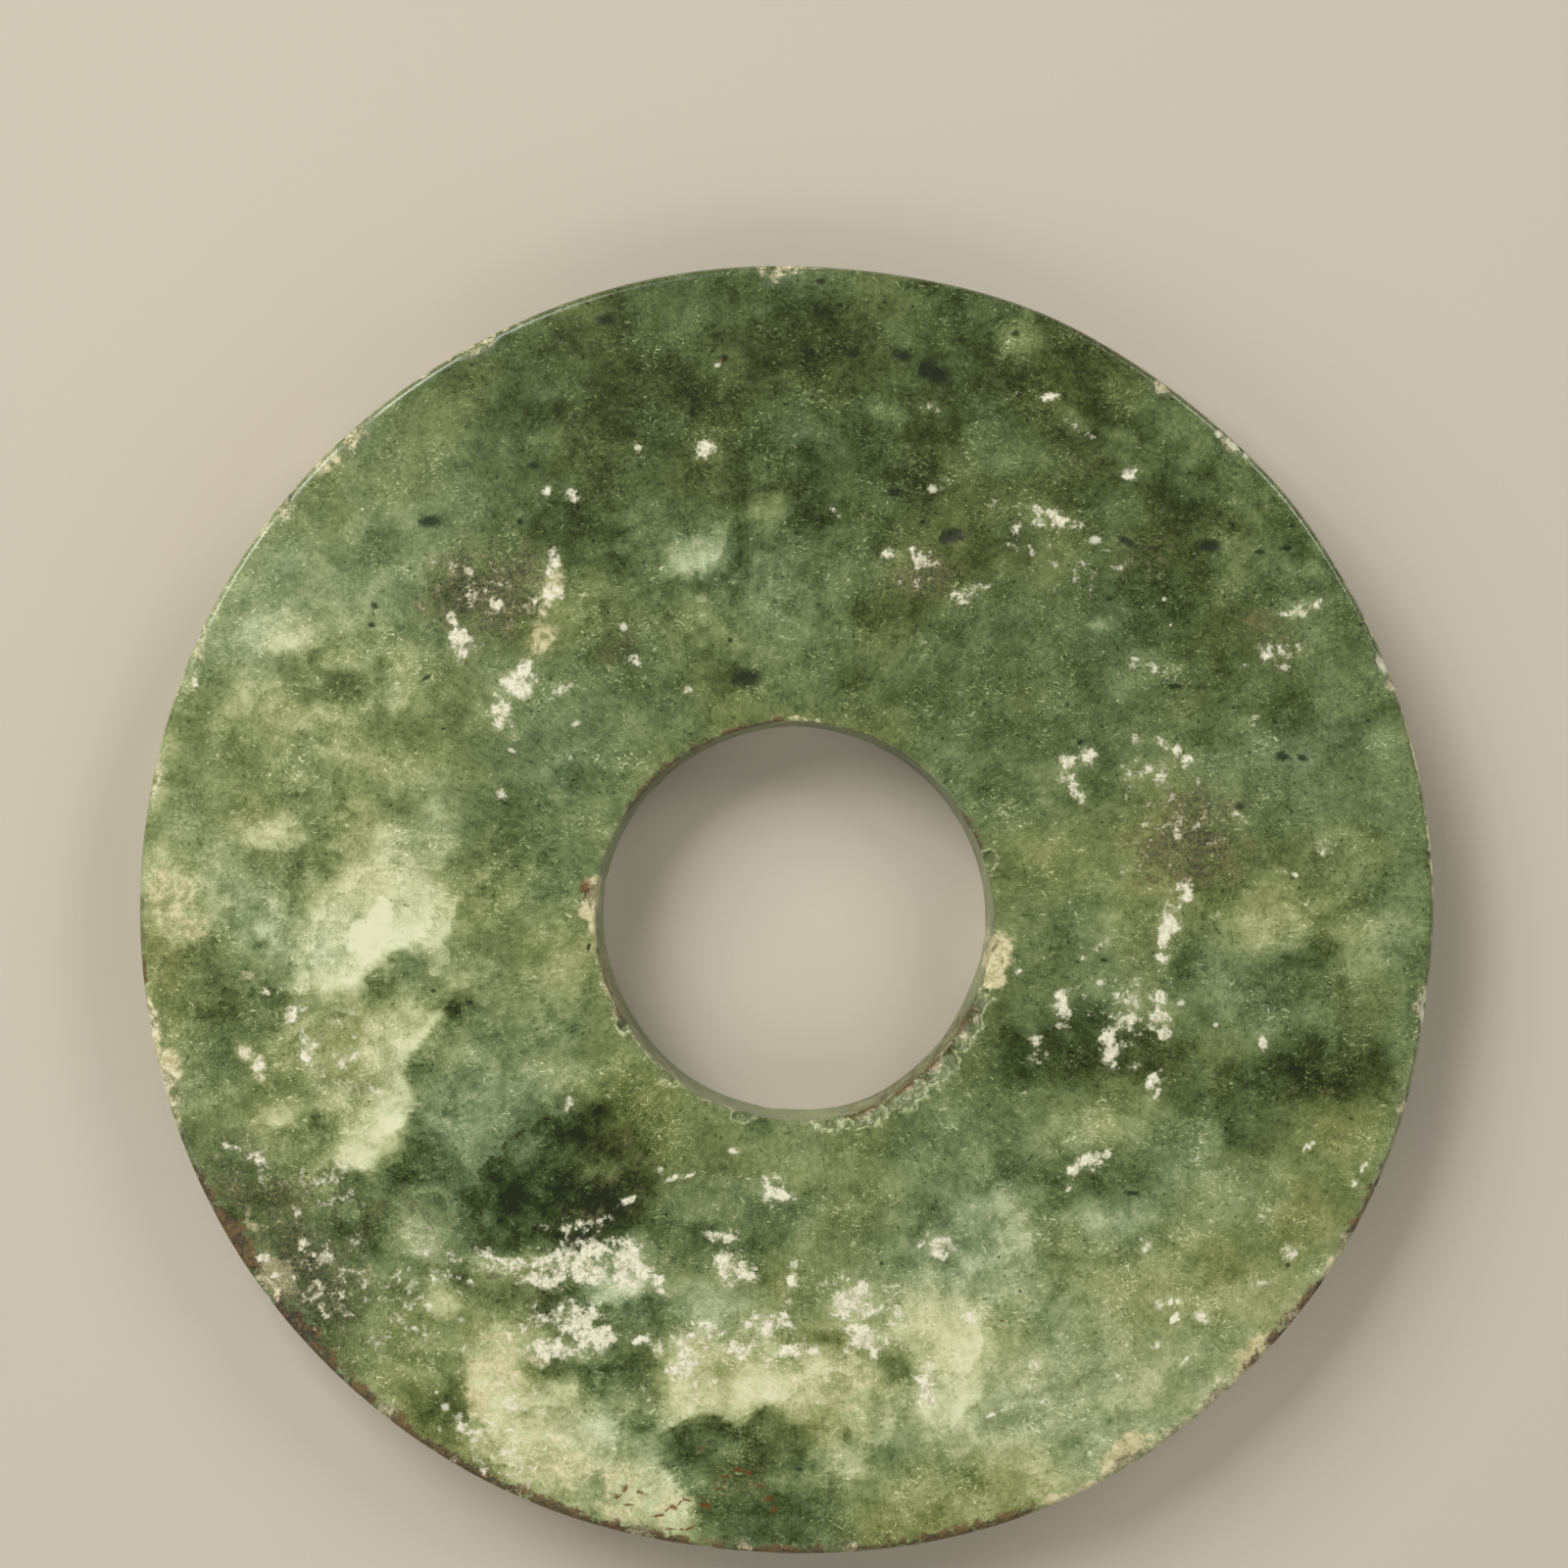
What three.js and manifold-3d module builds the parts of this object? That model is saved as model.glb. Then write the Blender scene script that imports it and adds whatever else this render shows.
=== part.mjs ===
import * as THREE from 'three';
import { mergeVertices } from 'three/addons/utils/BufferGeometryUtils.js';
import Module from 'manifold-3d';

// Jade bi disc: one flat ring of nephrite, sawn to a slab, ground round by eye and drilled
// through from one side, a little off its middle. It carries no carving.
// Lengths are in millimetres. Angles are in degrees, counted from +X towards +Y.
// The disc lies on Z = 0 with its shown face up, and the origin is under its middle.

// Driving dimensions
const OUTER_DIAMETER = 160.5; // the circle that the rim was ground towards
const THICKNESS = 12;
const RIM_ROUND_IN = 0.9; // how far the worn edge of the rim comes in over the face
const RIM_ROUND_DOWN = 1.5; // and how far it comes down the rim
const BORE_MOUTH_DIAMETER = 49.2; // where the drill went in, on the shown face
const BORE_EXIT_DIAMETER = 48.2; // where it came out, on the underside
const BORE_OFF_X = 0.87; // the bore's axis from the middle of the rim's circle
const BORE_OFF_Y = -1.16;
const BORE_ROUND = 0.4; // worn edge of the bore, on both faces

// How far a chip's egg stands off the edge that it cuts, as a share of the chip's depth
const CHIP_STAND_OFF = 0.5;

// How finely the round forms are cut into flats
const RIM_STEPS = 180;
const BORE_STEPS = 96;
const ROUND_STEPS = 3;
const CHIP_STEPS = 11;
const CHIP_RINGS = 8;

// Flats (by below 0) and swells (by above 0) of the rim: middle, reach either way, height.
const RIM_WAVES = [
  { at: 264, reach: 17, by: -0.85 },
  { at: 236, reach: 16, by: -0.25 },
  { at: 351, reach: 7, by: -0.4 },
  { at: 10, reach: 15, by: -0.22 },
  { at: 86, reach: 12, by: -0.32 },
  { at: 40, reach: 5, by: 0.2 },
  { at: 67, reach: 8, by: 0.3 },
  { at: 148, reach: 20, by: 0.36 },
  { at: 300, reach: 12, by: 0.4 },
  { at: 326, reach: 14, by: 0.32 },
];

// The same for the wall of the bore, where a swell makes the hole larger.
const BORE_WAVES = [
  { at: 92, reach: 10, by: 0.12 },
  { at: 165, reach: 22, by: 0.18 },
  { at: 212, reach: 16, by: -0.22 },
  { at: 290, reach: 16, by: 0.42 },
  { at: 335, reach: 11, by: -0.3 },
];

// Chips out of the rim's upper edge: middle, length along the edge, how far each cuts in
// from the rim and how far down from the face.
const RIM_CHIPS = [
  { at: 20.8, along: 2.4, into: 1.1, down: 1.2 },
  { at: 22.9, along: 2.0, into: 1.3, down: 1.0 },
  { at: 46.4, along: 4.0, into: 1.5, down: 1.4 },
  { at: 54.7, along: 2.6, into: 1.3, down: 1.2 },
  { at: 90.7, along: 4.6, into: 1.9, down: 1.8 },
  { at: 118.5, along: 5.2, into: 1.5, down: 1.5 },
  { at: 132.3, along: 5.0, into: 1.9, down: 1.6 },
  { at: 141.3, along: 3.2, into: 1.6, down: 1.6 },
  { at: 155, along: 3.4, into: 1.2, down: 1.6 },
  { at: 168, along: 6.0, into: 1.2, down: 1.2 },
  { at: 190, along: 3.2, into: 1.3, down: 1.4 },
  { at: 196, along: 6.4, into: 2.2, down: 1.8 },
  { at: 215.8, along: 5.6, into: 2.4, down: 1.8 },
  { at: 231, along: 3.0, into: 1.6, down: 1.5 },
  { at: 256.4, along: 5.0, into: 1.8, down: 1.6 },
  { at: 266, along: 2.6, into: 1.4, down: 1.3 },
  { at: 275, along: 3.4, into: 1.3, down: 1.4 },
  { at: 301.9, along: 4.4, into: 1.9, down: 1.5 },
  { at: 306.3, along: 3.6, into: 1.4, down: 1.5 },
  { at: 311.6, along: 4.4, into: 2.1, down: 1.7 },
  { at: 321.2, along: 3.0, into: 1.2, down: 1.5 },
  { at: 329.6, along: 3.6, into: 1.3, down: 1.5 },
  { at: 342.9, along: 4.4, into: 1.1, down: 1.4 },
  { at: 351.2, along: 3.2, into: 1.4, down: 1.3 },
];

// Chips out of the rim's lower edge, fewer and plainer.
const UNDER_RIM_CHIPS = [
  { at: 33, along: 4.2, into: 1.5, down: 1.4 },
  { at: 104, along: 3.4, into: 1.3, down: 1.3 },
  { at: 181, along: 5.4, into: 1.8, down: 1.6 },
  { at: 243, along: 3.8, into: 1.4, down: 1.3 },
  { at: 318, along: 4.6, into: 1.6, down: 1.5 },
];

// Chips out of the bore's upper edge. From 278 to 337 degrees they run into one rough bevel.
const BORE_CHIPS = [
  { at: 173, along: 4.0, into: 1.5, down: 1.2 },
  { at: 211, along: 2.6, into: 1.3, down: 1.3 },
  { at: 231.8, along: 2.6, into: 1.1, down: 1.0 },
  { at: 255.2, along: 2.6, into: 1.2, down: 1.0 },
  { at: 281, along: 5.0, into: 1.3, down: 1.0 },
  { at: 291, along: 6.0, into: 1.8, down: 1.4 },
  { at: 303, along: 7.0, into: 2.2, down: 1.8 },
  { at: 315, along: 6.4, into: 2.5, down: 2.0 },
  { at: 327, along: 6.4, into: 2.3, down: 1.8 },
  { at: 337, along: 4.4, into: 1.8, down: 1.4 },
  { at: 348, along: 7.6, into: 1.7, down: 1.6 },
  { at: 17.2, along: 2.8, into: 1.6, down: 1.2 },
];

// Where the drill broke out, the underside lost a ring of small flakes on one side.
const UNDER_BORE_CHIPS = [
  { at: 128, along: 6.0, into: 1.9, down: 1.4 },
  { at: 142, along: 5.0, into: 1.6, down: 1.2 },
  { at: 262, along: 3.6, into: 1.2, down: 1.1 },
];

const wasm = await Module();
wasm.setup();

function waveHeight(waves, degrees) {
  let height = 0;
  for (const wave of waves) {
    const apart = THREE.MathUtils.euclideanModulo(degrees - wave.at + 180, 360) - 180;
    height += wave.by * Math.exp(-((apart / wave.reach) ** 2));
  }
  return height;
}

function pointAt(degrees, radius) {
  const angle = THREE.MathUtils.degToRad(degrees);
  return new THREE.Vector2(radius * Math.cos(angle), radius * Math.sin(angle));
}

function rimRadius(degrees) {
  return OUTER_DIAMETER / 2 + waveHeight(RIM_WAVES, degrees);
}

// The bore narrows evenly from its mouth on the shown face to its exit on the underside.
function boreRadius(degrees, height) {
  const plain = THREE.MathUtils.lerp(BORE_EXIT_DIAMETER, BORE_MOUTH_DIAMETER, height / THICKNESS) / 2;
  return plain + waveHeight(BORE_WAVES, degrees);
}

function solidOf(geometry) {
  const bare = geometry.clone();
  bare.deleteAttribute('normal');
  bare.deleteAttribute('uv');
  const closed = mergeVertices(bare);
  return new wasm.Manifold(new wasm.Mesh({
    numProp: 3,
    vertProperties: new Float32Array(closed.attributes.position.array),
    triVerts: new Uint32Array(closed.index.array),
  }));
}

function geometryOf(solid) {
  const mesh = solid.getMesh();
  const geometry = new THREE.BufferGeometry();
  geometry.setAttribute('position', new THREE.BufferAttribute(mesh.vertProperties, 3));
  geometry.setIndex(new THREE.BufferAttribute(mesh.triVerts, 1));
  geometry.computeVertexNormals();
  return geometry;
}

// The ground slab before drilling: the rim's outline, raised with a worn edge on both faces.
function slab() {
  const outline = [];
  for (let step = 0; step < RIM_STEPS; step += 1) {
    const degrees = (step * 360) / RIM_STEPS;
    outline.push(pointAt(degrees, rimRadius(degrees) - RIM_ROUND_IN));
  }
  const geometry = new THREE.ExtrudeGeometry(new THREE.Shape(outline), {
    depth: THICKNESS - 2 * RIM_ROUND_DOWN,
    bevelSize: RIM_ROUND_IN,
    bevelThickness: RIM_ROUND_DOWN,
    bevelSegments: ROUND_STEPS,
  });
  geometry.translate(0, 0, RIM_ROUND_DOWN);
  return solidOf(geometry);
}

// What the drill and the wear took out: a plug that flares where it meets each face. It is
// turned straight, and then each ring of it is moved out to the wall of the real bore.
function borePlug() {
  const straight = BORE_EXIT_DIAMETER / 2;
  const flare = [];
  for (let step = 0; step <= ROUND_STEPS; step += 1) {
    const turn = (step / ROUND_STEPS) * (Math.PI / 2);
    flare.push({ out: BORE_ROUND * (1 - Math.cos(turn)), deep: BORE_ROUND * (1 - Math.sin(turn)) });
  }
  const profile = [
    new THREE.Vector2(0, -THICKNESS),
    new THREE.Vector2(straight + BORE_ROUND, -THICKNESS),
    ...flare.toReversed().map(({ out, deep }) => new THREE.Vector2(straight + out, deep)),
    ...flare.map(({ out, deep }) => new THREE.Vector2(straight + out, THICKNESS - deep)),
    new THREE.Vector2(straight + BORE_ROUND, 2 * THICKNESS),
    new THREE.Vector2(0, 2 * THICKNESS),
  ];
  const geometry = new THREE.LatheGeometry(profile, BORE_STEPS);
  geometry.rotateX(Math.PI / 2);
  const position = geometry.attributes.position;
  for (let index = 0; index < position.count; index += 1) {
    const radius = Math.hypot(position.getX(index), position.getY(index));
    const onAxis = radius < straight / 2;
    if (!onAxis) {
      const angle = Math.atan2(position.getY(index), position.getX(index));
      const degrees = THREE.MathUtils.radToDeg(angle);
      const height = THREE.MathUtils.clamp(position.getZ(index), 0, THICKNESS);
      const moved = pointAt(degrees, radius - straight + boreRadius(degrees, height));
      position.setXY(index, moved.x, moved.y);
    }
  }
  return solidOf(geometry).translate(BORE_OFF_X, BORE_OFF_Y, 0);
}

// One chip: the shallow scoop that a knock takes out of an edge. Its egg stands clear of the
// edge by CHIP_STAND_OFF of its own depth, sideways by out and upwards by up, each 1 or -1.
function chip({ at, along, into, down }, edgeRadius, face, middle, out, up) {
  const grown = 1 + CHIP_STAND_OFF;
  const lengthKept = Math.sqrt(1 - 2 * (CHIP_STAND_OFF / grown) ** 2);
  const geometry = new THREE.SphereGeometry(1, CHIP_STEPS, CHIP_RINGS);
  geometry.scale(into * grown, along / 2 / lengthKept, down * grown);
  geometry.rotateZ(THREE.MathUtils.degToRad(at));
  const place = pointAt(at, edgeRadius + out * into * CHIP_STAND_OFF).add(middle);
  geometry.translate(place.x, place.y, face + up * down * CHIP_STAND_OFF);
  return solidOf(geometry);
}

function chipped(solid) {
  const rimMiddle = new THREE.Vector2(0, 0);
  const boreMiddle = new THREE.Vector2(BORE_OFF_X, BORE_OFF_Y);
  let worn = solid;
  for (const [face, up, rimList, boreList] of [
    [THICKNESS, 1, RIM_CHIPS, BORE_CHIPS],
    [0, -1, UNDER_RIM_CHIPS, UNDER_BORE_CHIPS],
  ]) {
    for (const knock of rimList) {
      worn = worn.subtract(chip(knock, rimRadius(knock.at), face, rimMiddle, 1, up));
    }
    for (const knock of boreList) {
      worn = worn.subtract(chip(knock, boreRadius(knock.at, face), face, boreMiddle, -1, up));
    }
  }
  return worn;
}

const disc = chipped(slab().subtract(borePlug()));

// The origin goes under the middle of what the rim's flats and swells left.
const reach = disc.boundingBox();
const centred = disc.translate(
  -(reach.min[0] + reach.max[0]) / 2,
  -(reach.min[1] + reach.max[1]) / 2,
  0,
);

const nephrite = new THREE.MeshStandardMaterial({ color: 0x6e8559, roughness: 0.42, metalness: 0 });

const biDisc = new THREE.Mesh(geometryOf(centred), nephrite);
biDisc.name = 'bi_disc';

const group = new THREE.Group();
group.add(biDisc);

export default group;
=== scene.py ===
import math

import bpy
import numpy as np
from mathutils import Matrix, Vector, noise


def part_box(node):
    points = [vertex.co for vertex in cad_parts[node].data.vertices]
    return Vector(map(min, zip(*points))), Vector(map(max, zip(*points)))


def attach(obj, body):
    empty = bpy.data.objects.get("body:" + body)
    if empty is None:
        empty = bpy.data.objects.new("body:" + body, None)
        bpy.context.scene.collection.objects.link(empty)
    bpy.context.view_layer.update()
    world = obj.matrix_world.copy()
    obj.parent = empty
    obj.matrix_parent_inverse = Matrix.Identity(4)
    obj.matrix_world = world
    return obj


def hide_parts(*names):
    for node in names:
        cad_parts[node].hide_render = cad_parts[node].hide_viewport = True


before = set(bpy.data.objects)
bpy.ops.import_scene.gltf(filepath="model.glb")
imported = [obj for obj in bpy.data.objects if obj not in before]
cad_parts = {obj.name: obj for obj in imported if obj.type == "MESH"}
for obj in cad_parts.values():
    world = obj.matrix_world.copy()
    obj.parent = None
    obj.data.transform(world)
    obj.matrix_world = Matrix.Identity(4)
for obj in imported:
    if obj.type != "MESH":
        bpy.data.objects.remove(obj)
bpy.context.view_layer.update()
MM = 0.001


# The view. The photo looks square on at the shown face from about half a metre, with the
# disc standing on its rim. Here it lies face up, so the camera looks straight down on it.
PHOTO_SIDE_PX = 1600
DISC_WIDTH_PX = 1324
DISC_MIDDLE_PX = (803, 928.5)
EYE_DISTANCE = 500 * MM
SENSOR_WIDTH_MM = 36

low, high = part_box("bi_disc")
metres_per_px = (high.x - low.x) / DISC_WIDTH_PX
view_width = PHOTO_SIDE_PX * metres_per_px
camera_data = bpy.data.cameras.new("camera")
camera_data.sensor_width = SENSOR_WIDTH_MM
camera_data.lens = SENSOR_WIDTH_MM * EYE_DISTANCE / view_width
camera_data.clip_start = 10 * MM
camera = bpy.data.objects.new("camera", camera_data)
camera.location = (
    (low.x + high.x) / 2 + (PHOTO_SIDE_PX / 2 - DISC_MIDDLE_PX[0]) * metres_per_px,
    (low.y + high.y) / 2 + (DISC_MIDDLE_PX[1] - PHOTO_SIDE_PX / 2) * metres_per_px,
    high.z + EYE_DISTANCE,
)
bpy.context.scene.collection.objects.link(camera)
bpy.context.scene.camera = camera
bpy.context.scene.view_settings.view_transform = "Standard"


# The bi disc: one ring of nephrite, sawn to a slab, ground round by eye and drilled from one
# side, with worn and chipped edges. Its faces are uncarved; their cloudy green, white crust
# and brown earth are what burial made of the polished stone. Lengths here are in mm.
OUTER_RADIUS = 80.25
THICKNESS = 12.0
RIM_ROUND_IN = 0.9
RIM_ROUND_DOWN = 1.5
BORE_MOUTH_RADIUS = 24.6
BORE_EXIT_RADIUS = 24.1
BORE_ROUND = 0.4
BORE_OFF = (0.87, -1.16)
COLUMNS = 640
FACE_ROWS = 100
UNDER_ROWS = 14
RIM_ROWS = 12
BORE_ROWS = 10
ROUND_ROWS = 4
ROW_EASE = 0.35

# Flats and swells left by grinding: middle in degrees, reach in degrees, height.
RIM_WAVES = [
    (264, 17, -0.85), (236, 16, -0.25), (351, 7, -0.4), (10, 15, -0.22), (86, 12, -0.32), (40, 5, 0.2),
    (67, 8, 0.3), (148, 20, 0.36), (300, 12, 0.4), (326, 14, 0.32),
]
BORE_WAVES = [
    (92, 10, 0.12), (165, 22, 0.18), (212, 16, -0.22), (290, 16, 0.42), (335, 11, -0.3),
]

# Chips out of the edges: middle in degrees, length along the edge, depth in, depth down.
RIM_CHIPS = [
    (20.8, 2.4, 1.1, 1.2), (22.9, 2, 1.3, 1), (46.4, 4, 1.5, 1.4), (54.7, 2.6, 1.3, 1.2),
    (90.7, 4.6, 1.9, 1.8), (118.5, 5.2, 1.5, 1.5), (132.3, 5, 1.9, 1.6), (141.3, 3.2, 1.6, 1.6),
    (155, 3.4, 1.2, 1.6), (168, 6, 1.2, 1.2), (190, 3.2, 1.3, 1.4), (196, 6.4, 2.2, 1.8),
    (215.8, 5.6, 2.4, 1.8), (231, 3, 1.6, 1.5), (256.4, 5, 1.8, 1.6), (266, 2.6, 1.4, 1.3),
    (275, 3.4, 1.3, 1.4), (301.9, 4.4, 1.9, 1.5), (306.3, 3.6, 1.4, 1.5), (311.6, 4.4, 2.1, 1.7),
    (321.2, 3, 1.2, 1.5), (329.6, 3.6, 1.3, 1.5), (342.9, 4.4, 1.1, 1.4), (351.2, 3.2, 1.4, 1.3),
]
UNDER_RIM_CHIPS = [
    (33, 4.2, 1.5, 1.4), (104, 3.4, 1.3, 1.3), (181, 5.4, 1.8, 1.6), (243, 3.8, 1.4, 1.3),
    (318, 4.6, 1.6, 1.5),
]
BORE_CHIPS = [
    (173, 4, 1.5, 1.2), (211, 2.6, 1.3, 1.3), (231.8, 2.6, 1.1, 1), (255.2, 2.6, 1.2, 1),
    (281, 5, 1.3, 1), (291, 6, 1.8, 1.4), (303, 7, 2.2, 1.8), (315, 6.4, 2.5, 2), (327, 6.4, 2.3, 1.8),
    (337, 4.4, 1.8, 1.4), (348, 7.6, 1.7, 1.6), (17.2, 2.8, 1.6, 1.2),
]
UNDER_BORE_CHIPS = [
    (128, 6, 1.9, 1.4), (142, 5, 1.6, 1.2), (262, 3.6, 1.2, 1.1),
]
CHIP_STAND_OFF = 0.5
CHIP_RAGGED = 0.3
BORE_SCAR_SHARE = 0.5
BRUISE_GAP = 1.06
BRUISE_WIDTH = 0.07
BRUISE_LIGHTENING = 62
BORE_SCAR_DARKENING = 26

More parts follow.
